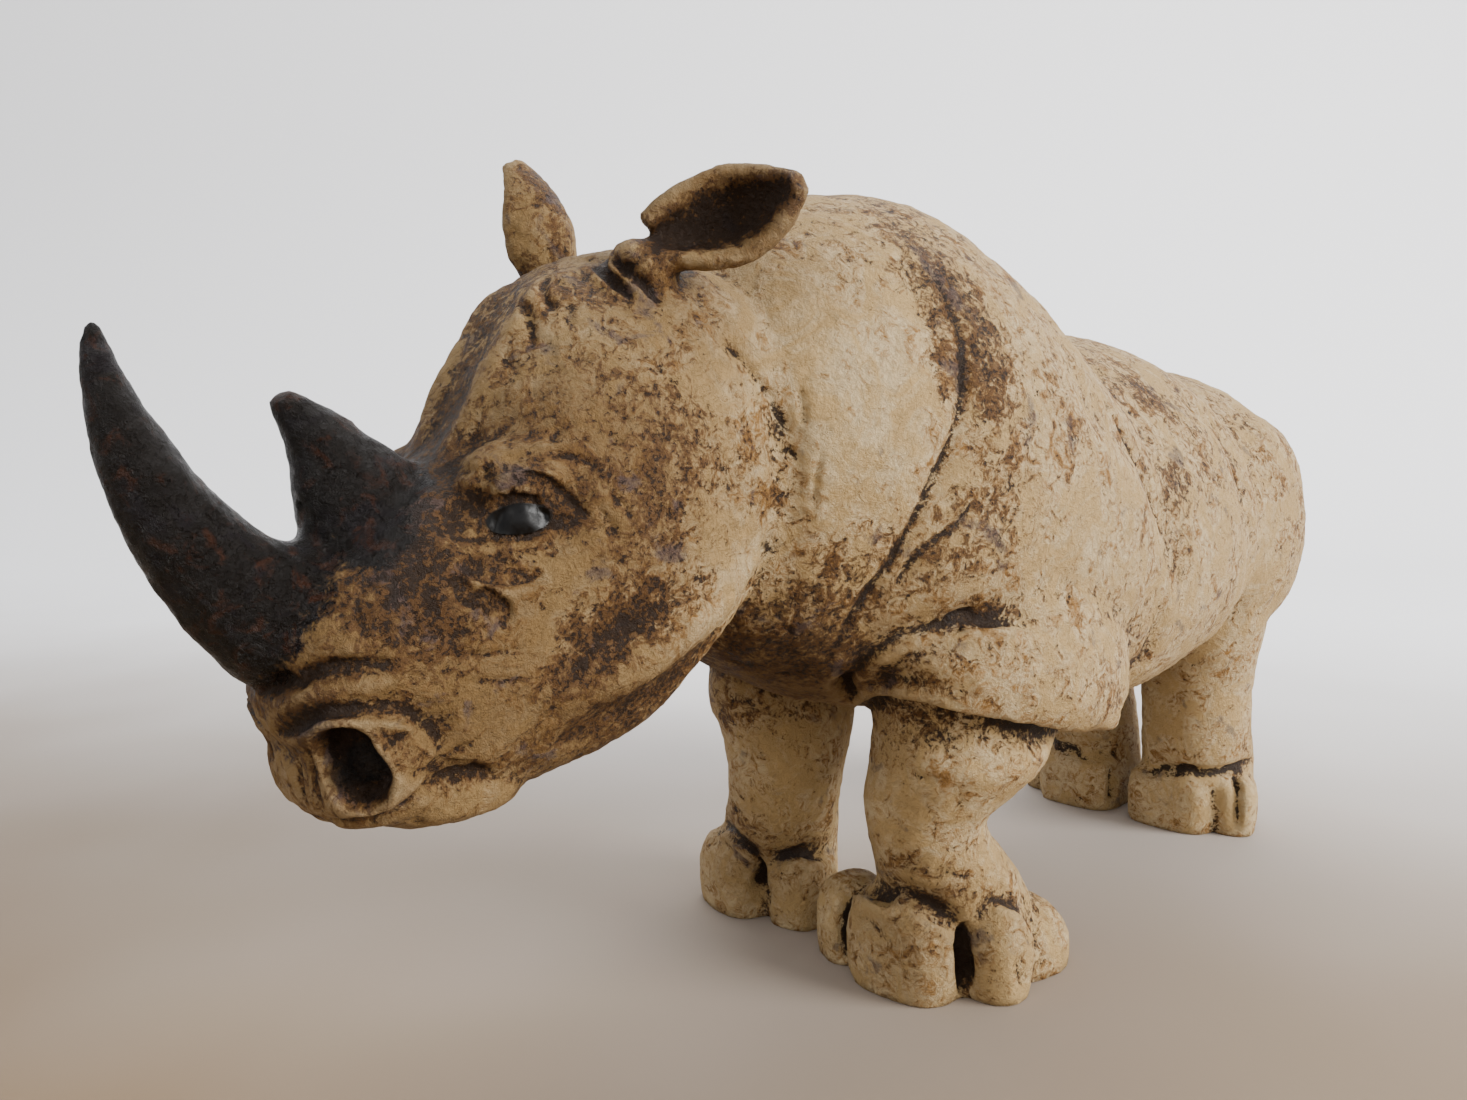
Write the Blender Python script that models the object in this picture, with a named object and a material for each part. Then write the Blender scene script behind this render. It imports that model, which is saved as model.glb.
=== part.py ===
"""A stoneware rhinoceros, modelled by hand in one piece, standing on its four feet with its head low.

All stations are in units of the figure, one unit being the hump's height over HUMP_UNITS, so that
the pose, the proportions and the carving are shares of SHOULDER_HEIGHT. The animal looks along -Y
and its left flank is at +X. The floor is Z = 0, and the origin lies under the middle of the figure.
"""
import math

import bpy
import bmesh
import numpy as np
from mathutils import Matrix, Vector
from mathutils.bvhtree import BVHTree

SHOULDER_HEIGHT = 0.196
EAR_WALL = 0.0042

HUMP_UNITS = 196.0
UNIT = SHOULDER_HEIGHT / HUMP_UNITS

CLAY_GRAIN = 1.3
BLEND_ROUNDS = 14
FACE_BUDGET = 9400
HEAD_COARSENESS = 0.55
EYE_COARSENESS = 0.12
EYE_REACH = 15.0

CLAY_COLOUR = (0.40, 0.29, 0.17, 1.0)
CLAY_ROUGHNESS = 0.72

# Upright sections of the body, front to back:
# y, top, bottom, half width, height of the widest level as a share, fullness above and below.
FOREQUARTERS = [
    (-130, 168, 104, 20, 0.50, 2.0, 2.0), (-118, 181, 88, 35, 0.50, 2.0, 2.1),
    (-98, 190, 76, 46, 0.48, 2.0, 2.2), (-80, 194.5, 69, 53, 0.45, 2.0, 2.3),
    (-58, 195.5, 66, 57.5, 0.42, 1.95, 2.4), (-33, 186, 65, 59.5, 0.40, 1.85, 2.5),
    (-12, 171, 66, 58, 0.40, 1.85, 2.4), (5, 158, 69, 54, 0.42, 1.85, 2.2),
    (18, 146, 76, 45, 0.45, 1.9, 2.0), (26, 134, 86, 33, 0.50, 2.0, 2.0),
    (30, 122, 98, 18, 0.50, 2.0, 2.0)]
BARREL = [
    (-60, 165, 70, 48, 0.45, 2.0, 2.0), (-20, 164, 56, 55, 0.42, 1.9, 2.4),
    (12, 166, 54, 57.5, 0.42, 1.9, 2.4), (36, 165.5, 55, 56.5, 0.44, 1.95, 2.3),
    (58, 160, 57, 53, 0.46, 2.0, 2.2), (76, 151, 62, 46, 0.48, 2.0, 2.1),
    (90, 138, 71, 34, 0.50, 2.0, 2.0), (95, 128, 80, 20, 0.50, 2.0, 2.0)]
RUMP = [
    (38, 138, 76, 34, 0.48, 2.0, 2.0), (52, 149, 67, 44, 0.46, 2.0, 2.0),
    (72, 155.5, 62, 49.5, 0.45, 2.0, 2.0), (94, 156, 66, 49.5, 0.46, 2.0, 1.9),
    (111, 149, 76, 44.5, 0.48, 2.0, 1.9), (124, 138, 88, 36, 0.50, 2.0, 1.9),
    (133.5, 126, 99, 25, 0.50, 2.0, 2.0), (138.5, 118, 106, 12, 0.50, 2.0, 2.0)]

# Sections square to a spine in the mid plane: y, z, half width, up, down, fullness above and below.
HEAD = [
    (-106, 150, 30, 26, 26, 2.0, 2.0), (-126, 141, 33, 38.5, 35, 2.0, 2.3),
    (-141, 131.5, 34.5, 41.5, 39, 2.0, 2.8), (-155, 123, 34.5, 34, 42, 2.0, 3.0),
    (-168, 114.5, 31.5, 25, 44, 2.1, 3.0), (-182, 105, 27.5, 25, 40.5, 2.2, 2.8),
    (-194, 96.5, 24, 23.5, 33.5, 2.3, 2.4), (-203, 90.5, 21.5, 18.5, 24.5, 2.3, 2.2),
    (-208.5, 86.5, 17.5, 12.5, 15.5, 2.1, 2.0), (-211.5, 84.5, 9, 6, 7, 2.0, 2.0)]
FRONT_HORN = [
    (-203, 107, 13, 14, 15, 2, 2), (-211, 109.3, 11.5, 12.8, 14.0, 2, 2),
    (-216.7, 113.3, 10.2, 10, 11.0, 2, 2), (-222, 119.3, 9, 8.3, 9.3, 2, 2),
    (-227, 127, 7.6, 7.1, 7.8, 2, 2), (-231, 136, 6, 5.6, 6, 2, 2),
    (-233.8, 145, 4.3, 4.0, 4.2, 2, 2), (-235.2, 152, 2.6, 2.5, 2.5, 2, 2),
    (-235.5, 156.5, 0.8, 0.8, 0.8, 2, 2)]
REAR_HORN = [
    (-188, 114, 14, 18, 18, 2, 2), (-194.5, 124.5, 11, 13.5, 13, 2, 2),
    (-198.5, 131.5, 8.5, 9.8, 9.5, 2, 2), (-201.8, 137, 6, 7, 6.5, 2, 2),
    (-205.5, 142, 3.8, 4, 3.8, 2, 2), (-208, 145.3, 2.4, 1.9, 2.1, 2, 2)]

# Legs, from the body down through the floor: x, y, z, radius across, radius fore and aft.
LEFT_FORELEG = [
    (32, -58, 96, 23, 25), (30, -58, 70, 21, 22.5), (31, -58, 58.5, 22.5, 24),
    (27.5, -63, 49, 18.5, 18.8), (25.5, -66.5, 41, 14.8, 15), (26.5, -62.5, 31, 16.5, 17),
    (27, -58, 21, 17.8, 19.5), (27, -54, 10, 18, 21), (27, -54, -4, 17.5, 20)]
RIGHT_FORELEG = [
    (-33, -60, 96, 22, 25), (-31, -61, 70, 21.5, 24), (-27, -62.5, 56, 18.5, 20),
    (-26, -65, 38, 16, 16.5), (-32, -61, 24, 16.5, 17), (-38, -56, 10, 17.5, 18),
    (-38, -56, -4, 17, 17.5)]
HIND_LEG = [
    (26.5, 89, 104, 23.5, 26), (24.5, 87, 74, 20, 21), (22, 88, 50, 17.5, 18.5),
    (21, 90, 32, 17.5, 19), (20.5, 92, 20, 18, 19), (20, 93, 8, 17, 18.5), (20, 93, -4, 16.5, 18)]
# The flap of skin that hangs over the top of each foreleg.
ARM_FLAP = [
    (33.5, -50.5, 65, 17, 32), (33.5, -49.8, 67.5, 25, 39), (33.5, -47.5, 75, 27.5, 42.5),
    (32, -45, 90, 26, 40), (27, -44, 108, 21, 33), (20, -42, 120, 14, 24)]
TAIL = [
    (0, 122, 140, 6, 6), (0, 137, 131, 5.5, 5.5), (1, 142.5, 119, 4.4, 4.4), (2, 138, 106, 3.8, 3.8),
    (2.5, 131, 95, 4.0, 4.0), (2.5, 124, 85, 4.6, 4.6), (2.5, 119, 78, 3.6, 3.6), (2.5, 117, 75, 1, 1)]

# Rounded lumps of clay: x, y, z, radii, turn about Z in degrees, fullness, and whether the other
# flank has one too.
LUMPS = {
    'upper lip': (0, -199, 81, 22.0, 12.5, 12.0, 0, 2.4, False),
    'lower lip': (0, -185, 74.5, 19.0, 17.0, 8.5, 0, 2.4, False),
    'brow': (21, -173.0, 130.0, 9.0, 12.0, 7.0, -14, 2.4, True),
    'thigh': (26.5, 92, 104, 24.5, 31.0, 38.0, 0, 2.4, True),
    'nostril rim': (14.5, -201.0, 84.0, 8.0, 9.0, 10.0, 0, 2.4, True),
    'left big toe': (23.5, -70.5, 9, 15.5, 13.0, 16.0, 4, 2.9, False),
    'left outer toe': (41.5, -59, 8, 8.5, 10.5, 15.5, 25, 2.3, False),
    'left inner toe': (3.5, -69.0, 7.5, 8.5, 10.0, 14.0, -20, 2.8, False),
    'left heel': (35.5, -43.0, 4, 13.0, 13.5, 13.0, 0, 2.3, False),
    'right big toe': (-41.5, -66.5, 7.5, 14.0, 12.5, 14.5, -12, 3.0, False),
    'right inner toe': (-21, -63.5, 8, 8.5, 10.5, 14.5, 12, 3.0, False),
    'right outer toe': (-54, -54.0, 8, 7.0, 10.0, 12.5, -30, 2.8, False),
    'hind big toe': (17.5, 83.0, 7.5, 15.0, 12.0, 13.0, 0, 3.6, True),
    'hind outer toe': (34.5, 90.0, 7, 7.0, 11.0, 12.5, 20, 3.2, True),
    'left ear root': (17.5, -144.0, 168.0, 7.5, 8.0, 7.5, 0, 2.0, False),
    'cheek': (21, -150, 112, 12.0, 24.0, 17.0, 0, 2.2, True),
}

EAR_ROWS = 14
EAR_COLUMNS = 12
EAR_CURL_ROOT = 105.0
EAR_CURL_TIP = 43.0
EAR_ROOT_WIDTH = 0.45
EAR_DEPTH = 0.5
RIM_TAPER = 0.4
# Root, tip, the way the cup opens, half width, where it is widest, how far its back bows out, and
# the radii of the rolls along its front and rear rims.
EARS = {
    'left ear': ((20, -141.5, 174), (44, -125, 183.5), (0.70, -0.66, 0.22), 8.6, 0.52, 3.0, 2.1, 1.9),
    'right ear': ((-19, -139, 171), (-26.5, -144, 197.5), (-0.93, -0.25, 0.25), 7.2, 0.42, 2.0, 2.7, 2.4),
}

STROKE_TAPER = 0.25
STROKE_POINT = 0.45
FOLD_EDGE = 0.34
FOLD_PROUD = 0.75
PIT_WALL = 0.5
# Strokes in the clay: kind, radius, depth, whether the other flank has one, and the line. A fold
# stands proud on the left of its line, seen from outside.
SKIN_FOLDS = [
    ('groove', 13, 2.0, True, [(37, -86, 177), (46, -87, 164), (52, -86, 149), (53, -90, 126),
                               (48, -96, 113), (43, -100, 103), (36, -102, 94), (28, -101, 85)]),
    ('groove', 10, 1.8, True, [(53, -41, 156), (58, -36, 143), (59, -18, 133), (60, -8, 118),
                               (60, 2, 101), (54, 8, 84)]),
    ('groove', 10, 2.0, True, [(40, 30, 152), (48, 46, 141), (53, 52, 129), (57, 52, 108), (50, 66, 85)]),
    ('groove', 9, 0.9, True, [(32, -138, 105), (31, -122, 110), (39, -109, 121), (45, -99, 131)]),
    ('groove', 9, 0.9, True, [(20, -119, 95), (30, -113, 104), (41, -103, 114), (46, -95, 124)]),
    ('fold', 8, 1.9, True, [(55, -62, 92), (52, -71, 94), (47, -80, 94), (40, -89, 92), (31, -93, 88),
                             (23, -91, 80)]),
    ('groove', 4, 2.4, True, [(25, -93, 84), (21, -90, 79), (17, -83, 73)]),
    ('fold', 7, 2.8, True, [(10, -74, 73), (20, -81, 75), (30, -84, 75.5), (39, -83, 75), (47, -77, 72),
                            (52, -67, 69), (54, -54, 66), (53, -42, 63), (48, -28, 60)]),
    ('groove', 9, 1.7, True, [(24, -81, 68), (34, -82, 69), (43, -78, 67), (50, -67, 63), (52, -54, 60),
                              (50, -42, 57), (47, -30, 55)]),
    ('groove', 7, 1.6, True, [(54, -30, 64), (52, -8, 70), (51, -4, 80), (54, -8, 92)]),
    ('groove', 6, 1.4, True, [(25, -134, 165), (31, -132, 155), (33, -126, 147), (34, -120, 135),
                              (34, -119, 123), (33, -119, 115), (28, -121, 112)]),
]
FACE = [
    ('groove', 11, 1.6, False, [(0, -156, 171), (0, -168, 160), (0, -177, 148), (0, -184, 136)]),
    ('groove', 6, -1.0, True, [(14, -152, 172), (11, -162, 167), (10, -170, 157), (10, -176, 147),
                               (8, -181, 138), (6, -186, 131)]),
    ('pit', 6.6, 6.0, True, [(17.0, -206.5, 85.0), (18.0, -205.5, 81.0)]),
    ('groove', 4, 1.8, True, [(0, -216, 95), (8, -215, 97), (14, -213, 99), (19, -208, 100), (23, -200, 100)]),
    ('fold', 5.5, 1.8, True, [(24, -193, 80), (25, -194, 86), (23.5, -200, 92), (18, -209, 93.5),
                              (12, -213, 91), (4, -214, 88)]),
    ('groove', 3.5, 1.8, True, [(0, -208, 72), (10, -206, 73), (17, -201, 75), (20, -194, 78), (20, -186, 78),
                                (19, -180, 75)]),
    ('groove', 8, -2.5, True, [(25, -172, 88), (28, -160, 93), (31, -146, 100), (32, -133, 107),
                               (30, -122, 113)]),
    ('groove', 9, 2.0, True, [(22, -172, 79), (25, -158, 83), (27, -145, 89), (27, -132, 97)]),
    ('groove', 14, 1.2, True, [(31, -172, 104), (33, -160, 103)]),
    ('fold', 4.5, 1.4, True, [(22, -149, 163), (17, -150, 168), (9, -147, 173)]),
    ('fold', 4.5, 1.2, True, [(25, -144, 162), (21, -146, 166), (15, -146, 171)]),
]
FEET = [
    ('fold', 6, 2.0, False, [(41, -70, 15), (38, -75, 21), (32, -79, 24.5), (24, -81, 25), (15, -78, 23),
                             (7, -74, 17)]),
    ('fold', 5, 1.8, False, [(52, -52, 12), (50, -54, 18), (47, -58, 22), (44, -64, 23.5), (41, -70, 18)]),
    ('groove', 2.9, 3.8, False, [(41, -71, 20), (40, -71, 14), (39.5, -70, 7), (39, -70, 1)]),
    ('groove', 2.7, 3.0, False, [(8, -74, 18), (9, -76, 10), (9.5, -76, 2)]),
    ('groove', 3.5, 1.6, False, [(52, -64, 14), (52, -62, 8), (51, -62, 2)]),
    ('fold', 6, 2.0, False, [(-26, -74, 15), (-28, -77, 21), (-34, -79, 23.5), (-42, -78, 24),
                             (-52, -70, 21)]),
    ('fold', 5, 1.6, False, [(-12, -60, 17), (-15, -67, 20), (-20, -71, 20), (-25, -73, 17)]),
    ('groove', 2.9, 3.8, False, [(-27, -74, 19), (-27, -75, 12), (-27, -74, 1)]),
    ('groove', 3.5, 2.8, False, [(-50, -66, 15), (-51, -66, 8), (-50, -65, 1)]),
    ('groove', 3.6, 2.4, True, [(39, 97, 23), (39, 88, 22), (35, 80, 21), (26, 73, 21), (15, 71, 20),
                                (5, 77, 18)]),
    ('groove', 2.8, 3.0, True, [(38, 84, 21), (39.5, 81, 13), (39.5, 81, 2)]),
    ('groove', 3.5, 2.2, True, [(5, 78, 16), (4, 77, 9), (4, 77, 2)]),
]
# The eye is laid out on the side of the head: its middle, and the ways back along the head and up.
EYE_MIDDLE = (29.5, -178.5, 123.5)
EYE_BACK = (0.30, 0.95, 0.02)
EYE_UP = (-0.15, 0.0, 0.98)
EYE = [
    ('groove', 10, 2.2, [(-6, -0.5), (5, -0.5)]),
    ('groove', 4.6, -3.0, [(-2.6, 0), (1.6, 0)]),
    ('fold', 4, 1.3, [(-11, -1.4), (-7.5, -0.3), (-4.8, 1.8), (-0.8, 3), (2.4, 2.3), (4.8, -0.2), (8.5, -1)]),
    ('fold', 3.4, 1.0, [(7, -0.8), (4.4, -1.7), (1, -3.1), (-3.2, -3.1), (-7.5, -1.5), (-10, -1.2)]),
    ('groove', 2.4, 1.3, [(-11.5, -1.4), (-6.3, 3.4), (-1, 5.4), (2.8, 4.5), (5.4, 1), (10.5, -1.8)]),
    ('groove', 2.2, 1.0, [(-9, -1.9), (-3.2, -5.5), (3.1, -5), (6.4, -1.6)]),
    ('groove', 3.2, 1.1, [(-12, -1.5), (-10.7, 4), (-8.9, 7.2), (-6, 9.6), (-2, 11), (6, 10.8), (10, 8.6),
                          (12, 5)]),
    ('groove', 2.6, 1.4, [(-12, -5), (-7.1, -8), (-2.7, -9.6), (2.5, -9.8)]),
    ('groove', 2.4, 1.2, [(-13.5, -8.4), (-11, -12), (-7.9, -14.2), (-5.6, -16.4), (-4.6, -19.5)]),
]
STROKES = [SKIN_FOLDS, FACE, FEET]


def catmull(rows, steps):
    """Rows of numbers on a smooth curve through the given rows, with so many steps to a span."""
    rows = np.array(rows, float)
    padded = np.vstack([2 * rows[0] - rows[1], rows, 2 * rows[-1] - rows[-2]])
    out = []
    for i in range(1, len(padded) - 2):
        p0, p1, p2, p3 = padded[i - 1:i + 3]
        for k in range(steps):
            t = k / steps
            out.append(0.5 * (2 * p1 + (p2 - p0) * t + (2 * p0 - 5 * p1 + 4 * p2 - p3) * t ** 2
                              + (3 * p1 - p0 - 3 * p2 + p3) * t ** 3))
    out.append(rows[-1])
    return np.array(out)


def section(half_width, up, down, full_up, full_down, count=40):
    """A closed cross-section as (side, height) pairs: half superellipses above and below its centre."""
    points = []
    for k in range(count):
        c = math.cos(2 * math.pi * k / count)
        s = math.sin(2 * math.pi * k / count)
        power = full_up if s >= 0 else full_down
        side = math.copysign(abs(c) ** (2 / power), c) * half_width
        height = math.copysign(abs(s) ** (2 / power), s) * (up if s >= 0 else down)
        points.append((side, height))
    return points


def link(name, bm):
    """A new object from a bmesh, with its faces pointing out."""
    bmesh.ops.recalc_face_normals(bm, faces=bm.faces)
    mesh = bpy.data.meshes.new(name)
    bm.to_mesh(mesh)
    bm.free()
    ob = bpy.data.objects.new(name, mesh)
    bpy.context.scene.collection.objects.link(ob)
    return ob


def skin(name, rings):
    """A closed skin over rings of points, with a fan over each end."""
    bm = bmesh.new()
    loops = [[bm.verts.new(p) for p in ring] for ring in rings]
    count = len(loops[0])
    for a, b in zip(loops, loops[1:]):
        for k in range(count):
            bm.faces.new((a[k], a[(k + 1) % count], b[(k + 1) % count], b[k]))
    for loop in (loops[0], loops[-1]):
        mid = bm.verts.new(sum((v.co for v in loop), Vector()) / count)
        for k in range(count):
            bm.faces.new((loop[k], loop[(k + 1) % count], mid))
    return link(name, bm)


def trunk(name, stations):
    """A mass of the body from upright sections across X."""
    rings = []
    for y, top, bottom, half_width, widest, full_up, full_down in catmull(stations, 5):
        level = bottom + (top - bottom) * widest
        rings.append([(s, y, level + h)
                      for s, h in section(half_width, top - level, level - bottom, full_up, full_down)])
    return skin(name, rings)


def along_spine(name, stations, upwards):
    """A mass whose sections stand square to a spine in the mid plane.

    For a spine that climbs, as a horn's, the section's upper side is the one towards the nose."""
    rows = catmull(stations, 5)
    run = np.gradient(rows[:, :2], axis=0)
    run /= np.linalg.norm(run, axis=1)[:, None]
    rings = []
    for (y, z, half_width, up, down, full_up, full_down), (run_y, run_z) in zip(rows, run):
        up_y, up_z = run_z, -run_y
        if upwards and up_z < 0:
            up_y, up_z = -up_y, -up_z
        rings.append([(s, y + h * up_y, z + h * up_z)
                      for s, h in section(half_width, up, down, full_up, full_down)])
    return skin(name, rings)


def limb(name, stations, flip=1, count=28, level=False):
    """A limb with round sections square to its own path, or level ones for a leg whose path bends
    within its own width; flip of -1 makes the other flank's."""
    rows = catmull(stations, 5)
    run = np.gradient(rows[:, :3], axis=0)
    run /= np.linalg.norm(run, axis=1)[:, None]
    if level:
        run[:] = (0, 0, -1)
    rings = []
    for (x, y, z, across, fore_aft), t in zip(rows, run):
        side = np.cross((0, 1, 0), t)
        side /= np.linalg.norm(side)
        front = np.cross(t, side)
        ring = []
        for k in range(count):
            a = 2 * math.pi * k / count
            p = np.array((x, y, z)) + side * across * math.cos(a) + front * fore_aft * math.sin(a)
            ring.append((p[0] * flip, p[1], p[2]))
        rings.append(ring)
    return skin(name, rings)


def lump(name, x, y, z, rx, ry, rz, turn, fullness):
    """A rounded lump of clay, the squarer the greater its fullness."""
    bm = bmesh.new()
    bmesh.ops.create_icosphere(bm, subdivisions=4, radius=1.0)
    for v in bm.verts:
        v.co /= sum(abs(c) ** fullness for c in v.co) ** (1 / fullness)
    bm.transform(Matrix.Translation((x, y, z)) @ Matrix.Rotation(math.radians(turn), 4, 'Z')
                 @ Matrix.Diagonal((rx, ry, rz, 1)))
    return link(name, bm)


def ear(name, root, tip, opening, half_width, widest, bow, front_roll, rear_roll):
    """A leaf-shaped cup that opens along opening: a curled sheet EAR_WALL thick with rolled rims."""
    root, tip, opening = Vector(root), Vector(tip), Vector(opening).normalized()
    axis = tip - root
    opening = (opening - axis * opening.dot(axis) / axis.length_squared).normalized()
    side = axis.normalized().cross(opening)
    rows = []
    for i in range(EAR_ROWS + 1):
        u = i / EAR_ROWS
        if u < widest:
            swell = math.sin(math.pi / 2 * u / widest) ** 1.2
            width = half_width * (EAR_ROOT_WIDTH + (1 - EAR_ROOT_WIDTH) * swell)
        else:
            width = half_width * (1 - 0.9 * ((u - widest) / (1 - widest)) ** 1.7)
        curl = math.radians(EAR_CURL_ROOT + (EAR_CURL_TIP - EAR_CURL_ROOT) * u)
        radius = width / math.sin(min(curl, math.pi / 2))
        mid = root + axis * u - opening * bow * math.sin(math.pi * u)
        row = []
        for j in range(EAR_COLUMNS + 1):
            a = curl * (2 * j / EAR_COLUMNS - 1)
            row.append(mid + side * radius * math.sin(a) - opening * radius * (math.cos(a) - EAR_DEPTH))
        rows.append(row)
    bm = bmesh.new()
    grid = [[bm.verts.new(p) for p in row] for row in rows]
    for a, b in zip(grid, grid[1:]):
        for k in range(EAR_COLUMNS):
            bm.faces.new((a[k], a[k + 1], b[k + 1], b[k]))
    sheet = link(name, bm)
    wall = sheet.modifiers.new('Wall', 'SOLIDIFY')
    wall.thickness = EAR_WALL / UNIT
    wall.offset = 0
    pieces = [applied(sheet)]
    for column, roll in ((0, front_roll), (EAR_COLUMNS, rear_roll)):
        rim = [(*row[column], roll * (1 - RIM_TAPER * i / EAR_ROWS), roll) for i, row in enumerate(rows)]
        pieces.append(limb(name + ' rim', rim, count=14))
    return pieces


def applied(ob):
    """The object with its modifiers worked into its mesh."""
    mesh = bpy.data.meshes.new_from_object(ob.evaluated_get(bpy.context.evaluated_depsgraph_get()))
    ob.modifiers.clear()
    ob.data = mesh
    return ob


def join(name, pieces):
    """One object that holds all the pieces' meshes, which are removed."""
    bm = bmesh.new()
    for piece in pieces:
        bm.from_mesh(piece.data)
        bpy.data.objects.remove(piece)
    mesh = bpy.data.meshes.new(name)
    bm.to_mesh(mesh)
    bm.free()
    ob = bpy.data.objects.new(name, mesh)
    bpy.context.scene.collection.objects.link(ob)
    return ob


def rough_out():
    """The lumps and rolls of clay, pressed together into one closed body."""
    pieces = [trunk('forequarters', FOREQUARTERS), trunk('barrel', BARREL), trunk('rump', RUMP),
              along_spine('head', HEAD, True), along_spine('front horn', FRONT_HORN, False),
              along_spine('rear horn', REAR_HORN, False), limb('left foreleg', LEFT_FORELEG, level=True),
              limb('right foreleg', RIGHT_FORELEG), limb('tail', TAIL)]
    for flip in (1, -1):
        pieces.append(limb('hind leg', HIND_LEG, flip))
        pieces.append(limb('arm flap', ARM_FLAP, flip))
    for name, (x, y, z, rx, ry, rz, turn, fullness, paired) in LUMPS.items():
        pieces.append(lump(name, x, y, z, rx, ry, rz, turn, fullness))
        if paired:
            pieces.append(lump(name, -x, y, z, rx, ry, rz, -turn, fullness))
    for name, shape in EARS.items():
        pieces.extend(ear(name, *shape))
    return join('rhinoceros', pieces)


def points_of(mesh):
    """The mesh's points as an array."""
    co = np.empty(len(mesh.vertices) * 3, np.float32)
    mesh.vertices.foreach_get('co', co)
    return co.reshape(-1, 3).astype(float)


def normals_of(mesh):
    """The mesh's normals at its points as an array."""
    normals = np.empty(len(mesh.vertices) * 3, np.float32)
    mesh.vertices.foreach_get('normal', normals)
    return normals.reshape(-1, 3).astype(float)


def blend_joins(ob, rounds):
    """The lumps smoothed into each other, less on the horns, face and feet and hardly on the ears."""
    co = points_of(ob.data)
    weight = np.ones(len(co))
    weight[(co[:, 1] < -160) & (co[:, 2] > 60)] = 0.55
    weight[(co[:, 1] < -188) & (co[:, 2] > 118)] = 0.3
    weight[co[:, 2] < 28] = 0.35
    weight[(co[:, 2] > 56) & (co[:, 2] < 78) & (co[:, 1] < 5) & (co[:, 1] > -100)] = 0.45
    weight[(co[:, 2] > 176) & (co[:, 1] < -112) & (np.abs(co[:, 0]) > 17)] = 0.12
    group = ob.vertex_groups.new(name='soft')
    for level in np.unique(weight):
        group.add(np.flatnonzero(weight == level).tolist(), float(level), 'REPLACE')
    smooth = ob.modifiers.new('Smooth', 'SMOOTH')
    smooth.vertex_group = group.name
    smooth.factor = 0.5
    smooth.iterations = rounds
    return applied(ob)


def press(co, normals, tree, kind, radius, depth, line):
    """Press one stroke into the clay along a line of points, which is first laid on the surface.

    A groove sinks by depth. In a fold the clay to the left of the stroke, seen from outside, stands
    proud of the line and the clay to the right sinks under it. A pit goes straight in with steep
    walls. A negative depth raises a ridge."""
    spans = 1 if len(line) == 1 else 6
    path = np.array([tree.find_nearest(Vector(p))[0] for p in
                     (line if len(line) == 1 else catmull(line, spans))])
    low, high = path.min(0) - radius, path.max(0) + radius
    near = np.flatnonzero(((co > low) & (co < high)).all(1))
    if len(near) == 0:
        return
    p = co[near]
    best = np.full(len(near), np.inf)
    share = np.zeros(len(near))
    left = np.zeros(len(near))
    ends = list(zip(path[:-1], path[1:])) if len(path) > 1 else [(path[0], path[0])]
    for k, (a, b) in enumerate(ends):
        run = b - a
        t = np.clip(((p - a) @ run) / max(run @ run, 1e-9), 0, 1)
        off = p - (a + t[:, None] * run)
        far = np.linalg.norm(off, axis=1)
        closer = far < best
        best[closer] = far[closer]
        share[closer] = (k + t[closer]) / len(ends)
        turned = np.cross(normals[near], run)
        left[closer] = np.sign((turned * off).sum(1))[closer]
    grip = np.ones(len(near))
    if len(line) > 2:
        grip = np.clip(np.minimum(share, 1 - share) / STROKE_TAPER, 0, 1) ** 0.7
    s = np.clip(best / (radius * (STROKE_POINT + (1 - STROKE_POINT) * grip)), 0, 1)
    fade = (1 - s) ** 2 * (1 + 2 * s) * grip
    push = normals[near]
    if kind == 'pit':
        wall = np.clip((1 - s) / PIT_WALL, 0, 1)
        fade = wall ** 2 * (3 - 2 * wall)
        push = np.tile((push * fade[:, None]).sum(0), (len(near), 1))
        push /= np.linalg.norm(push, axis=1)[:, None]
    amount = -depth * fade
    if kind == 'fold':
        rise = np.clip(s / FOLD_EDGE, 0, 1)
        amount = np.where(left > 0, depth * fade * (FOLD_PROUD * rise - (1 - rise)), amount)
    co[near] += push * amount[:, None]


def eye_strokes():
    """The strokes of an eye, brought from its own layout to the side of the head."""
    middle, back, up = (np.array(v, float) for v in (EYE_MIDDLE, EYE_BACK, EYE_UP))
    return [(kind, radius, depth, True, [tuple(middle + back * a + up * b) for a, b in line])
            for kind, radius, depth, line in EYE]


def carve(ob, strokes):
    """All the strokes pressed into the object's mesh, the paired ones on both flanks."""
    mesh = ob.data
    for group in strokes:
        co = points_of(mesh)
        normals = normals_of(mesh)
        tree = BVHTree.FromObject(ob, bpy.context.evaluated_depsgraph_get())
        for kind, radius, depth, paired, line in group:
            press(co, normals, tree, kind, radius, depth, line)
            if paired:
                mirrored = [(-x, y, z) for x, y, z in reversed(line)]
                press(co, normals, tree, kind, radius, depth, mirrored)
        mesh.vertices.foreach_set('co', co.astype(np.float32).ravel())
        mesh.update()
    return ob


def settle(ob):
    """The edges of the strokes eased, as a damp sponge leaves them."""
    ease = ob.modifiers.new('Ease', 'SMOOTH')
    ease.factor = 0.4
    ease.iterations = 2
    return applied(ob)


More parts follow.
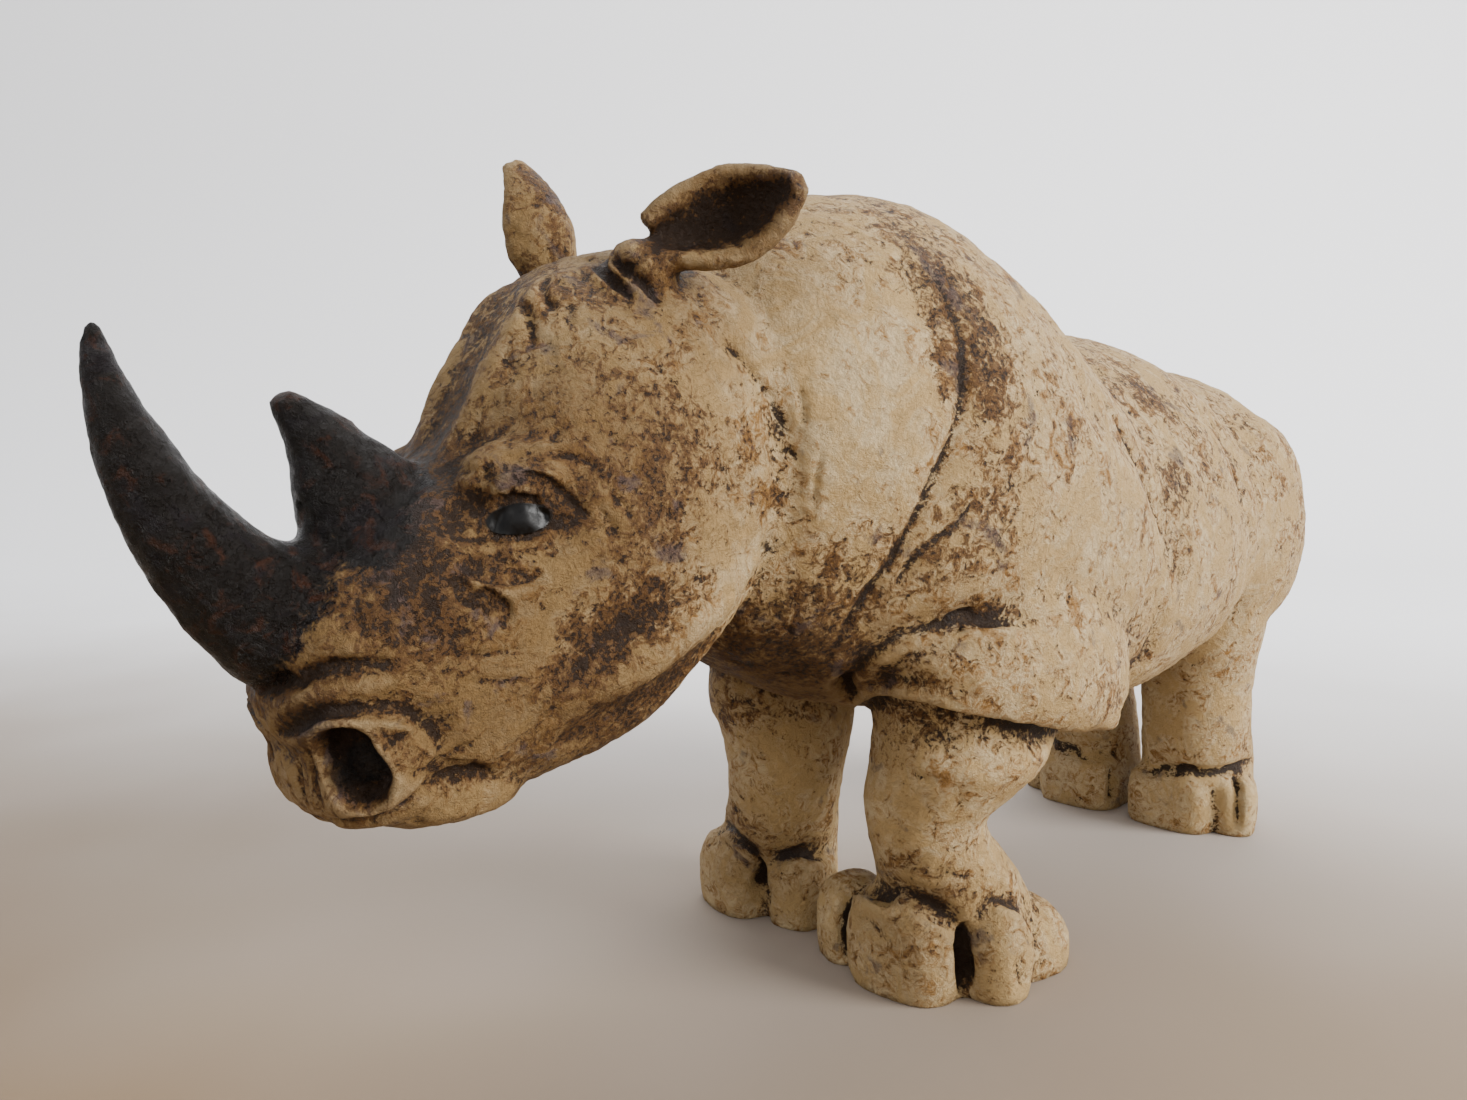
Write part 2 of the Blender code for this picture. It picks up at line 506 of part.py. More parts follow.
def thin_out(ob):
    """Fewer, larger facets, the finest of them on the head."""
    co = points_of(ob.data)
    weight = np.ones(len(co))
    weight[(co[:, 1] < -112) | (co[:, 2] < 26)] = HEAD_COARSENESS
    eye = np.array(EYE_MIDDLE) * (np.sign(co[:, :1]) * (1, 0, 0) + (0, 1, 1))
    weight[np.linalg.norm(co - eye, axis=1) < EYE_REACH] = EYE_COARSENESS
    group = ob.vertex_groups.new(name='coarse')
    for level in np.unique(weight):
        group.add(np.flatnonzero(weight == level).tolist(), float(level), 'REPLACE')
    thin = ob.modifiers.new('Thin out', 'DECIMATE')
    triangles = sum(len(f.vertices) - 2 for f in ob.data.polygons)
    thin.ratio = FACE_BUDGET / triangles
    thin.vertex_group = group.name
    return applied(ob)


def stand(ob):
    """Feet cut flat at the floor, the figure brought to size and centred over the origin."""
    bm = bmesh.new()
    bm.from_mesh(ob.data)
    cut = bmesh.ops.bisect_plane(bm, geom=bm.verts[:] + bm.edges[:] + bm.faces[:], plane_co=(0, 0, 0),
                                 plane_no=(0, 0, 1), clear_inner=True)
    rims = [e for e in cut['geom_cut'] if isinstance(e, bmesh.types.BMEdge)]
    bmesh.ops.holes_fill(bm, edges=rims)
    bmesh.ops.triangulate(bm, faces=bm.faces)
    low = Vector([min(v.co[k] for v in bm.verts) for k in range(3)])
    high = Vector([max(v.co[k] for v in bm.verts) for k in range(3)])
    middle = (low + high) / 2
    bmesh.ops.translate(bm, verts=bm.verts, vec=(-middle.x, -middle.y, 0))
    bmesh.ops.scale(bm, verts=bm.verts, vec=(UNIT, UNIT, UNIT))
    bm.to_mesh(ob.data)
    bm.free()
    return ob


def main():
    for ob in list(bpy.data.objects):
        bpy.data.objects.remove(ob)
    body = rough_out()
    remesh = body.modifiers.new('Press together', 'REMESH')
    remesh.mode = 'VOXEL'
    remesh.voxel_size = CLAY_GRAIN
    body = applied(body)
    body = blend_joins(body, BLEND_ROUNDS)
    body = carve(body, [*STROKES, eye_strokes()])
    body = settle(body)
    body = thin_out(body)
    body = stand(body)
    body.data.shade_smooth()
    body.data.set_sharp_from_angle(angle=math.radians(60))
    clay = bpy.data.materials.new('stoneware')
    clay.use_nodes = True
    shader = clay.node_tree.nodes['Principled BSDF']
    shader.inputs['Base Color'].default_value = CLAY_COLOUR
    shader.inputs['Roughness'].default_value = CLAY_ROUGHNESS
    shader.inputs['Metallic'].default_value = 0.0
    body.data.materials.append(clay)


main()
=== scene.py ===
"""The looks of a stoneware rhinoceros figurine: its fine clay surface, its oxide wash, light and camera.

The form repeats the solid's own stations, in units of the figure, and then gets finer strokes.
"""
import math

import bpy
import bmesh
import numpy as np
from mathutils import Matrix, Vector
from mathutils.bvhtree import BVHTree
from mathutils.kdtree import KDTree


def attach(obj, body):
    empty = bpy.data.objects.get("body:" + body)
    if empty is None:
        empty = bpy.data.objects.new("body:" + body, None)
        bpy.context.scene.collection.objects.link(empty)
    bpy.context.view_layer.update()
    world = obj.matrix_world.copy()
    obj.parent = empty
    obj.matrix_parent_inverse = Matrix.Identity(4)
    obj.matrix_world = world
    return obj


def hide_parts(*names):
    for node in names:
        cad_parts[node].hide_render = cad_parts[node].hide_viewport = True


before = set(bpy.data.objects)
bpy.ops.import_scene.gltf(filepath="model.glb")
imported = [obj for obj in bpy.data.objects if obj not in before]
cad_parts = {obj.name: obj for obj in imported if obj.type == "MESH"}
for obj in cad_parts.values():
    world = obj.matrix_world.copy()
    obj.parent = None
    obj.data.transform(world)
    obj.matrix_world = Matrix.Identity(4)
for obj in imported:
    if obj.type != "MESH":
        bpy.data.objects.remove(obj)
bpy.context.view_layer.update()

SHOULDER_HEIGHT = 0.196
EAR_WALL = 0.0042

HUMP_UNITS = 196.0
UNIT = SHOULDER_HEIGHT / HUMP_UNITS

# The solid's grain, and the rounds of smoothing that blend its joins at that grain.
CLAY_GRAIN = 1.3
BLEND_ROUNDS = 14
BLEND_PULL = 0.5
# Where the joins stay firmer: least distance from the mid plane, y from and to, z from and to, and
# how soft the clay gets there. Later places count over earlier ones.
FAR = 1000
FIRM_PLACES = [
    (-1, -FAR, -160, 60, FAR, 0.55), (-1, -FAR, -188, 118, FAR, 0.3), (-1, -FAR, FAR, -FAR, 28, 0.35),
    (-1, -100, 5, 56, 78, 0.45), (17, -FAR, -112, 176, FAR, 0.12)]
# The sponge that eases the edges of the strokes.
SPONGE_PULL = 0.4
SPONGE_ROUNDS = 2

# Upright sections of the body, front to back:
# y, top, bottom, half width, height of the widest level as a share, fullness above and below.
FOREQUARTERS = [
    (-130, 168, 104, 20, 0.50, 2.0, 2.0), (-118, 181, 88, 35, 0.50, 2.0, 2.1),
    (-98, 190, 76, 46, 0.48, 2.0, 2.2), (-80, 194.5, 69, 53, 0.45, 2.0, 2.3),
    (-58, 195.5, 66, 57.5, 0.42, 1.95, 2.4), (-33, 186, 65, 59.5, 0.40, 1.85, 2.5),
    (-12, 171, 66, 58, 0.40, 1.85, 2.4), (5, 158, 69, 54, 0.42, 1.85, 2.2),
    (18, 146, 76, 45, 0.45, 1.9, 2.0), (26, 134, 86, 33, 0.50, 2.0, 2.0),
    (30, 122, 98, 18, 0.50, 2.0, 2.0)]
BARREL = [
    (-60, 165, 70, 48, 0.45, 2.0, 2.0), (-20, 164, 56, 55, 0.42, 1.9, 2.4),
    (12, 166, 54, 57.5, 0.42, 1.9, 2.4), (36, 165.5, 55, 56.5, 0.44, 1.95, 2.3),
    (58, 160, 57, 53, 0.46, 2.0, 2.2), (76, 151, 62, 46, 0.48, 2.0, 2.1),
    (90, 138, 71, 34, 0.50, 2.0, 2.0), (95, 128, 80, 20, 0.50, 2.0, 2.0)]
RUMP = [
    (38, 138, 76, 34, 0.48, 2.0, 2.0), (52, 149, 67, 44, 0.46, 2.0, 2.0),
    (72, 155.5, 62, 49.5, 0.45, 2.0, 2.0), (94, 156, 66, 49.5, 0.46, 2.0, 1.9),
    (111, 149, 76, 44.5, 0.48, 2.0, 1.9), (124, 138, 88, 36, 0.50, 2.0, 1.9),
    (133.5, 126, 99, 25, 0.50, 2.0, 2.0), (138.5, 118, 106, 12, 0.50, 2.0, 2.0)]

# Sections square to a spine in the mid plane: y, z, half width, up, down, fullness above and below.
HEAD = [
    (-106, 150, 30, 26, 26, 2.0, 2.0), (-126, 141, 33, 38.5, 35, 2.0, 2.3),
    (-141, 131.5, 34.5, 41.5, 39, 2.0, 2.8), (-155, 123, 34.5, 34, 42, 2.0, 3.0),
    (-168, 114.5, 31.5, 25, 44, 2.1, 3.0), (-182, 105, 27.5, 25, 40.5, 2.2, 2.8),
    (-194, 96.5, 24, 23.5, 33.5, 2.3, 2.4), (-203, 90.5, 21.5, 18.5, 24.5, 2.3, 2.2),
    (-208.5, 86.5, 17.5, 12.5, 15.5, 2.1, 2.0), (-211.5, 84.5, 9, 6, 7, 2.0, 2.0)]
FRONT_HORN = [
    (-203, 107, 13, 14, 15, 2, 2), (-211, 109.3, 11.5, 12.8, 14.0, 2, 2),
    (-216.7, 113.3, 10.2, 10, 11.0, 2, 2), (-222, 119.3, 9, 8.3, 9.3, 2, 2),
    (-227, 127, 7.6, 7.1, 7.8, 2, 2), (-231, 136, 6, 5.6, 6, 2, 2),
    (-233.8, 145, 4.3, 4.0, 4.2, 2, 2), (-235.2, 152, 2.6, 2.5, 2.5, 2, 2),
    (-235.5, 156.5, 0.8, 0.8, 0.8, 2, 2)]
REAR_HORN = [
    (-188, 114, 14, 18, 18, 2, 2), (-194.5, 124.5, 11, 13.5, 13, 2, 2),
    (-198.5, 131.5, 8.5, 9.8, 9.5, 2, 2), (-201.8, 137, 6, 7, 6.5, 2, 2),
    (-205.5, 142, 3.8, 4, 3.8, 2, 2), (-208, 145.3, 2.4, 1.9, 2.1, 2, 2)]

# Legs, from the body down through the floor: x, y, z, radius across, radius fore and aft.
LEFT_FORELEG = [
    (32, -58, 96, 23, 25), (30, -58, 70, 21, 22.5), (31, -58, 58.5, 22.5, 24),
    (27.5, -63, 49, 18.5, 18.8), (25.5, -66.5, 41, 14.8, 15), (26.5, -62.5, 31, 16.5, 17),
    (27, -58, 21, 17.8, 19.5), (27, -54, 10, 18, 21), (27, -54, -4, 17.5, 20)]
RIGHT_FORELEG = [
    (-33, -60, 96, 22, 25), (-31, -61, 70, 21.5, 24), (-27, -62.5, 56, 18.5, 20),
    (-26, -65, 38, 16, 16.5), (-32, -61, 24, 16.5, 17), (-38, -56, 10, 17.5, 18),
    (-38, -56, -4, 17, 17.5)]
HIND_LEG = [
    (26.5, 89, 104, 23.5, 26), (24.5, 87, 74, 20, 21), (22, 88, 50, 17.5, 18.5),
    (21, 90, 32, 17.5, 19), (20.5, 92, 20, 18, 19), (20, 93, 8, 17, 18.5), (20, 93, -4, 16.5, 18)]
# The flap of skin that hangs over the top of each foreleg.
ARM_FLAP = [
    (33.5, -50.5, 65, 17, 32), (33.5, -49.8, 67.5, 25, 39), (33.5, -47.5, 75, 27.5, 42.5),
    (32, -45, 90, 26, 40), (27, -44, 108, 21, 33), (20, -42, 120, 14, 24)]
TAIL = [
    (0, 122, 140, 6, 6), (0, 137, 131, 5.5, 5.5), (1, 142.5, 119, 4.4, 4.4), (2, 138, 106, 3.8, 3.8),
    (2.5, 131, 95, 4.0, 4.0), (2.5, 124, 85, 4.6, 4.6), (2.5, 119, 78, 3.6, 3.6), (2.5, 117, 75, 1, 1)]

# Rounded lumps of clay: x, y, z, radii, turn about Z in degrees, fullness, and whether the other
# flank has one too.
LUMPS = {
    'upper lip': (0, -199, 81, 22.0, 12.5, 12.0, 0, 2.4, False),
    'lower lip': (0, -185, 74.5, 19.0, 17.0, 8.5, 0, 2.4, False),
    'brow': (21, -173.0, 130.0, 9.0, 12.0, 7.0, -14, 2.4, True),
    'thigh': (26.5, 92, 104, 24.5, 31.0, 38.0, 0, 2.4, True),
    'nostril rim': (14.5, -201.0, 84.0, 8.0, 9.0, 10.0, 0, 2.4, True),
    'left big toe': (23.5, -70.5, 9, 15.5, 13.0, 16.0, 4, 2.9, False),
    'left outer toe': (41.5, -59, 8, 8.5, 10.5, 15.5, 25, 2.3, False),
    'left inner toe': (3.5, -69.0, 7.5, 8.5, 10.0, 14.0, -20, 2.8, False),
    'left heel': (35.5, -43.0, 4, 13.0, 13.5, 13.0, 0, 2.3, False),
    'right big toe': (-41.5, -66.5, 7.5, 14.0, 12.5, 14.5, -12, 3.0, False),
    'right inner toe': (-21, -63.5, 8, 8.5, 10.5, 14.5, 12, 3.0, False),
    'right outer toe': (-54, -54.0, 8, 7.0, 10.0, 12.5, -30, 2.8, False),
    'hind big toe': (17.5, 83.0, 7.5, 15.0, 12.0, 13.0, 0, 3.6, True),
    'hind outer toe': (34.5, 90.0, 7, 7.0, 11.0, 12.5, 20, 3.2, True),
    'left ear root': (17.5, -144.0, 168.0, 7.5, 8.0, 7.5, 0, 2.0, False),
    'cheek': (21, -150, 112, 12.0, 24.0, 17.0, 0, 2.2, True),
}

EAR_ROWS = 14
EAR_COLUMNS = 12
EAR_CURL_ROOT = 105.0
EAR_CURL_TIP = 43.0
EAR_ROOT_WIDTH = 0.45
EAR_DEPTH = 0.5
RIM_TAPER = 0.4
# Root, tip, the way the cup opens, half width, where it is widest, how far its back bows out, and
# the radii of the rolls along its front and rear rims.
EARS = {
    'left ear': ((20, -141.5, 174), (44, -125, 183.5), (0.70, -0.66, 0.22), 8.6, 0.52, 3.0, 2.1, 1.9),
    'right ear': ((-19, -139, 171), (-26.5, -144, 197.5), (-0.93, -0.25, 0.25), 7.2, 0.42, 2.0, 2.7, 2.4),
}

# Steps to a span of a stroke, how steeply and over what share of it the ends taper, their least
# width, the edge and the proud side of a fold, and how much of a pit is wall.
STROKE_STEPS = 6
TAPER_POWER = 0.7
STROKE_TAPER = 0.25
STROKE_POINT = 0.45
FOLD_EDGE = 0.34
FOLD_PROUD = 0.75
PIT_WALL = 0.5
# Strokes in the clay: kind, radius, depth, whether the other flank has one, and the line. A fold
# stands proud on the left of its line, seen from outside.
SKIN_FOLDS = [
    ('groove', 13, 2.0, True, [(37, -86, 177), (46, -87, 164), (52, -86, 149), (53, -90, 126),
        (48, -96, 113), (43, -100, 103), (36, -102, 94), (28, -101, 85)]),
    ('groove', 10, 1.8, True, [(53, -41, 156), (58, -36, 143), (59, -18, 133), (60, -8, 118), (60, 2, 101),
        (54, 8, 84)]),
    ('groove', 10, 2.0, True, [(40, 30, 152), (48, 46, 141), (53, 52, 129), (57, 52, 108), (50, 66, 85)]),
    ('groove', 9, 0.9, True, [(32, -138, 105), (31, -122, 110), (39, -109, 121), (45, -99, 131)]),
    ('groove', 9, 0.9, True, [(20, -119, 95), (30, -113, 104), (41, -103, 114), (46, -95, 124)]),
    ('fold', 8, 1.9, True, [(55, -62, 92), (52, -71, 94), (47, -80, 94), (40, -89, 92), (31, -93, 88),
        (23, -91, 80)]),
    ('groove', 4, 2.4, True, [(25, -93, 84), (21, -90, 79), (17, -83, 73)]),
    ('fold', 7, 2.8, True, [(10, -74, 73), (20, -81, 75), (30, -84, 75.5), (39, -83, 75), (47, -77, 72),
        (52, -67, 69), (54, -54, 66), (53, -42, 63), (48, -28, 60)]),
    ('groove', 9, 1.7, True, [(24, -81, 68), (34, -82, 69), (43, -78, 67), (50, -67, 63), (52, -54, 60),
        (50, -42, 57), (47, -30, 55)]),
    ('groove', 7, 1.6, True, [(54, -30, 64), (52, -8, 70), (51, -4, 80), (54, -8, 92)]),
    ('groove', 6, 1.4, True, [(25, -134, 165), (31, -132, 155), (33, -126, 147), (34, -120, 135),
        (34, -119, 123), (33, -119, 115), (28, -121, 112)]),
]
FACE = [
    ('groove', 11, 1.6, False, [(0, -156, 171), (0, -168, 160), (0, -177, 148), (0, -184, 136)]),
    ('groove', 6, -1.0, True, [(14, -152, 172), (11, -162, 167), (10, -170, 157), (10, -176, 147),
        (8, -181, 138), (6, -186, 131)]),
    ('pit', 6.6, 6.0, True, [(17.0, -206.5, 85.0), (18.0, -205.5, 81.0)]),
    ('groove', 4, 1.8, True, [(0, -216, 95), (8, -215, 97), (14, -213, 99), (19, -208, 100),
        (23, -200, 100)]),
    ('fold', 5.5, 1.8, True, [(24, -193, 80), (25, -194, 86), (23.5, -200, 92), (18, -209, 93.5),
        (12, -213, 91), (4, -214, 88)]),
    ('groove', 3.5, 1.8, True, [(0, -208, 72), (10, -206, 73), (17, -201, 75), (20, -194, 78),
        (20, -186, 78), (19, -180, 75)]),
    ('groove', 8, -2.5, True, [(25, -172, 88), (28, -160, 93), (31, -146, 100), (32, -133, 107),
        (30, -122, 113)]),
    ('groove', 9, 2.0, True, [(22, -172, 79), (25, -158, 83), (27, -145, 89), (27, -132, 97)]),
    ('groove', 14, 1.2, True, [(31, -172, 104), (33, -160, 103)]),
    ('fold', 4.5, 1.4, True, [(22, -149, 163), (17, -150, 168), (9, -147, 173)]),
    ('fold', 4.5, 1.2, True, [(25, -144, 162), (21, -146, 166), (15, -146, 171)]),
]
FEET = [
    ('fold', 6, 2.0, False, [(41, -70, 15), (38, -75, 21), (32, -79, 24.5), (24, -81, 25), (15, -78, 23),
        (7, -74, 17)]),
    ('fold', 5, 1.8, False, [(52, -52, 12), (50, -54, 18), (47, -58, 22), (44, -64, 23.5), (41, -70, 18)]),
    ('groove', 2.9, 3.8, False, [(41, -71, 20), (40, -71, 14), (39.5, -70, 7), (39, -70, 1)]),
    ('groove', 2.7, 3.0, False, [(8, -74, 18), (9, -76, 10), (9.5, -76, 2)]),
    ('groove', 3.5, 1.6, False, [(52, -64, 14), (52, -62, 8), (51, -62, 2)]),
    ('fold', 6, 2.0, False, [(-26, -74, 15), (-28, -77, 21), (-34, -79, 23.5), (-42, -78, 24),
        (-52, -70, 21)]),
    ('fold', 5, 1.6, False, [(-12, -60, 17), (-15, -67, 20), (-20, -71, 20), (-25, -73, 17)]),
    ('groove', 2.9, 3.8, False, [(-27, -74, 19), (-27, -75, 12), (-27, -74, 1)]),
    ('groove', 3.5, 2.8, False, [(-50, -66, 15), (-51, -66, 8), (-50, -65, 1)]),
    ('groove', 3.6, 2.4, True, [(39, 97, 23), (39, 88, 22), (35, 80, 21), (26, 73, 21), (15, 71, 20),
        (5, 77, 18)]),
    ('groove', 2.8, 3.0, True, [(38, 84, 21), (39.5, 81, 13), (39.5, 81, 2)]),
    ('groove', 3.5, 2.2, True, [(5, 78, 16), (4, 77, 9), (4, 77, 2)]),
]
# The eye is laid out on the side of the head: its middle, and the ways back along the head and up.
EYE_MIDDLE = (29.5, -178.5, 123.5)
EYE_BACK = (0.30, 0.95, 0.02)
EYE_UP = (-0.15, 0.0, 0.98)
EYE = [
    ('groove', 10, 2.2, [(-6, -0.5), (5, -0.5)]),
    ('groove', 4.6, -3.0, [(-2.6, 0), (1.6, 0)]),
    ('fold', 4, 1.3, [(-11, -1.4), (-7.5, -0.3), (-4.8, 1.8), (-0.8, 3), (2.4, 2.3), (4.8, -0.2),
        (8.5, -1)]),
    ('fold', 3.4, 1.0, [(7, -0.8), (4.4, -1.7), (1, -3.1), (-3.2, -3.1), (-7.5, -1.5), (-10, -1.2)]),
    ('groove', 2.4, 1.3, [(-11.5, -1.4), (-6.3, 3.4), (-1, 5.4), (2.8, 4.5), (5.4, 1), (10.5, -1.8)]),
    ('groove', 2.2, 1.0, [(-9, -1.9), (-3.2, -5.5), (3.1, -5), (6.4, -1.6)]),
    ('groove', 3.2, 1.1, [(-12, -1.5), (-10.7, 4), (-8.9, 7.2), (-6, 9.6), (-2, 11), (6, 10.8), (10, 8.6),
        (12, 5)]),
    ('groove', 2.6, 1.4, [(-12, -5), (-7.1, -8), (-2.7, -9.6), (2.5, -9.8)]),
    ('groove', 2.4, 1.2, [(-13.5, -8.4), (-11, -12), (-7.9, -14.2), (-5.6, -16.4), (-4.6, -19.5)]),
]
STROKES = [SKIN_FOLDS, FACE, FEET]


def catmull(rows, steps):
    """Rows of numbers on a smooth curve through the given rows, with so many steps to a span."""
    rows = np.array(rows, float)
    padded = np.vstack([2 * rows[0] - rows[1], rows, 2 * rows[-1] - rows[-2]])
    out = []
    for i in range(1, len(padded) - 2):
        p0, p1, p2, p3 = padded[i - 1:i + 3]
        for k in range(steps):
            t = k / steps
            out.append(0.5 * (2 * p1 + (p2 - p0) * t + (2 * p0 - 5 * p1 + 4 * p2 - p3) * t ** 2
                              + (3 * p1 - p0 - 3 * p2 + p3) * t ** 3))
    out.append(rows[-1])
    return np.array(out)


def section(half_width, up, down, full_up, full_down, count=40):
    """A closed cross-section as (side, height) pairs: half superellipses above and below its centre."""
    points = []
    for k in range(count):
        c = math.cos(2 * math.pi * k / count)
        s = math.sin(2 * math.pi * k / count)
        power = full_up if s >= 0 else full_down
        side = math.copysign(abs(c) ** (2 / power), c) * half_width
        height = math.copysign(abs(s) ** (2 / power), s) * (up if s >= 0 else down)
        points.append((side, height))
    return points


def link(name, bm):
    """A new object from a bmesh, with its faces pointing out."""
    bmesh.ops.recalc_face_normals(bm, faces=bm.faces)
    mesh = bpy.data.meshes.new(name)
    bm.to_mesh(mesh)
    bm.free()
    ob = bpy.data.objects.new(name, mesh)
    bpy.context.scene.collection.objects.link(ob)
    return ob


def skin(name, rings):
    """A closed skin over rings of points, with a fan over each end."""
    bm = bmesh.new()
    loops = [[bm.verts.new(p) for p in ring] for ring in rings]
    count = len(loops[0])
    for a, b in zip(loops, loops[1:]):
        for k in range(count):
            bm.faces.new((a[k], a[(k + 1) % count], b[(k + 1) % count], b[k]))
    for loop in (loops[0], loops[-1]):
        mid = bm.verts.new(sum((v.co for v in loop), Vector()) / count)
        for k in range(count):
            bm.faces.new((loop[k], loop[(k + 1) % count], mid))
    return link(name, bm)


def trunk(name, stations):
    """A mass of the body from upright sections across X."""
    rings = []
    for y, top, bottom, half_width, widest, full_up, full_down in catmull(stations, 5):
        level = bottom + (top - bottom) * widest
        rings.append([(s, y, level + h)
                      for s, h in section(half_width, top - level, level - bottom, full_up, full_down)])
    return skin(name, rings)


def along_spine(name, stations, upwards):
    """A mass whose sections stand square to a spine in the mid plane.

    For a spine that climbs, as a horn's, the section's upper side is the one towards the nose."""
    rows = catmull(stations, 5)
    run = np.gradient(rows[:, :2], axis=0)
    run /= np.linalg.norm(run, axis=1)[:, None]
    rings = []
    for (y, z, half_width, up, down, full_up, full_down), (run_y, run_z) in zip(rows, run):
        up_y, up_z = run_z, -run_y
        if upwards and up_z < 0:
            up_y, up_z = -up_y, -up_z
        rings.append([(s, y + h * up_y, z + h * up_z)
                      for s, h in section(half_width, up, down, full_up, full_down)])
    return skin(name, rings)


def limb(name, stations, flip=1, count=28, level=False):
    """A limb with round sections square to its own path, or level ones for a leg whose path bends
    within its own width; flip of -1 makes the other flank's."""
    rows = catmull(stations, 5)
    run = np.gradient(rows[:, :3], axis=0)
    run /= np.linalg.norm(run, axis=1)[:, None]
    if level:
        run[:] = (0, 0, -1)
    rings = []
    for (x, y, z, across, fore_aft), t in zip(rows, run):
        side = np.cross((0, 1, 0), t)
        side /= np.linalg.norm(side)
        front = np.cross(t, side)
        ring = []
        for k in range(count):
            a = 2 * math.pi * k / count
            p = np.array((x, y, z)) + side * across * math.cos(a) + front * fore_aft * math.sin(a)
            ring.append((p[0] * flip, p[1], p[2]))
        rings.append(ring)
    return skin(name, rings)


def lump(name, x, y, z, rx, ry, rz, turn, fullness):
    """A rounded lump of clay, the squarer the greater its fullness."""
    bm = bmesh.new()
    bmesh.ops.create_icosphere(bm, subdivisions=4, radius=1.0)
    for v in bm.verts:
        v.co /= sum(abs(c) ** fullness for c in v.co) ** (1 / fullness)
    bm.transform(Matrix.Translation((x, y, z)) @ Matrix.Rotation(math.radians(turn), 4, 'Z')
                 @ Matrix.Diagonal((rx, ry, rz, 1)))
    return link(name, bm)


def ear(name, root, tip, opening, half_width, widest, bow, front_roll, rear_roll):
    """A leaf-shaped cup that opens along opening: a curled sheet EAR_WALL thick with rolled rims."""
    root, tip, opening = Vector(root), Vector(tip), Vector(opening).normalized()
    axis = tip - root
    opening = (opening - axis * opening.dot(axis) / axis.length_squared).normalized()
    side = axis.normalized().cross(opening)
    rows = []
    for i in range(EAR_ROWS + 1):
        u = i / EAR_ROWS
        if u < widest:
            swell = math.sin(math.pi / 2 * u / widest) ** 1.2
            width = half_width * (EAR_ROOT_WIDTH + (1 - EAR_ROOT_WIDTH) * swell)
        else:
            width = half_width * (1 - 0.9 * ((u - widest) / (1 - widest)) ** 1.7)
        curl = math.radians(EAR_CURL_ROOT + (EAR_CURL_TIP - EAR_CURL_ROOT) * u)
        radius = width / math.sin(min(curl, math.pi / 2))
        mid = root + axis * u - opening * bow * math.sin(math.pi * u)
        row = []
        for j in range(EAR_COLUMNS + 1):
            a = curl * (2 * j / EAR_COLUMNS - 1)
            row.append(mid + side * radius * math.sin(a) - opening * radius * (math.cos(a) - EAR_DEPTH))
        rows.append(row)
    bm = bmesh.new()
    grid = [[bm.verts.new(p) for p in row] for row in rows]
    for a, b in zip(grid, grid[1:]):
        for k in range(EAR_COLUMNS):
            bm.faces.new((a[k], a[k + 1], b[k + 1], b[k]))
    sheet = link(name, bm)
    wall = sheet.modifiers.new('Wall', 'SOLIDIFY')
    wall.thickness = EAR_WALL / UNIT
    wall.offset = 0
    pieces = [applied(sheet)]
    for column, roll in ((0, front_roll), (EAR_COLUMNS, rear_roll)):
        rim = [(*row[column], roll * (1 - RIM_TAPER * i / EAR_ROWS), roll) for i, row in enumerate(rows)]
        pieces.append(limb(name + ' rim', rim, count=14))
    return pieces


def applied(ob):
    """The object with its modifiers worked into its mesh."""
    mesh = bpy.data.meshes.new_from_object(ob.evaluated_get(bpy.context.evaluated_depsgraph_get()))
    ob.modifiers.clear()
    ob.data = mesh
    return ob


def join(name, pieces):
    """One object that holds all the pieces' meshes, which are removed."""
    bm = bmesh.new()
    for piece in pieces:
        bm.from_mesh(piece.data)
        bpy.data.objects.remove(piece)
    mesh = bpy.data.meshes.new(name)
    bm.to_mesh(mesh)
    bm.free()
    ob = bpy.data.objects.new(name, mesh)
    bpy.context.scene.collection.objects.link(ob)
    return ob


def rough_out():
    """The lumps and rolls of clay, pressed together into one closed body."""
    pieces = [trunk('forequarters', FOREQUARTERS), trunk('barrel', BARREL), trunk('rump', RUMP),
              along_spine('head', HEAD, True), along_spine('front horn', FRONT_HORN, False),
              along_spine('rear horn', REAR_HORN, False), limb('left foreleg', LEFT_FORELEG, level=True),
              limb('right foreleg', RIGHT_FORELEG), limb('tail', TAIL)]
    for flip in (1, -1):
        pieces.append(limb('hind leg', HIND_LEG, flip))
        pieces.append(limb('arm flap', ARM_FLAP, flip))
    for name, (x, y, z, rx, ry, rz, turn, fullness, paired) in LUMPS.items():
        pieces.append(lump(name, x, y, z, rx, ry, rz, turn, fullness))
        if paired:
            pieces.append(lump(name, -x, y, z, rx, ry, rz, -turn, fullness))
    for name, shape in EARS.items():
        pieces.extend(ear(name, *shape))
    return join('rhinoceros', pieces)


def points_of(mesh):
    """The mesh's points as an array."""
    co = np.empty(len(mesh.vertices) * 3, np.float32)
    mesh.vertices.foreach_get('co', co)
    return co.reshape(-1, 3).astype(float)


def normals_of(mesh):
    """The mesh's normals at its points as an array."""
    normals = np.empty(len(mesh.vertices) * 3, np.float32)
    mesh.vertices.foreach_get('normal', normals)
    return normals.reshape(-1, 3).astype(float)


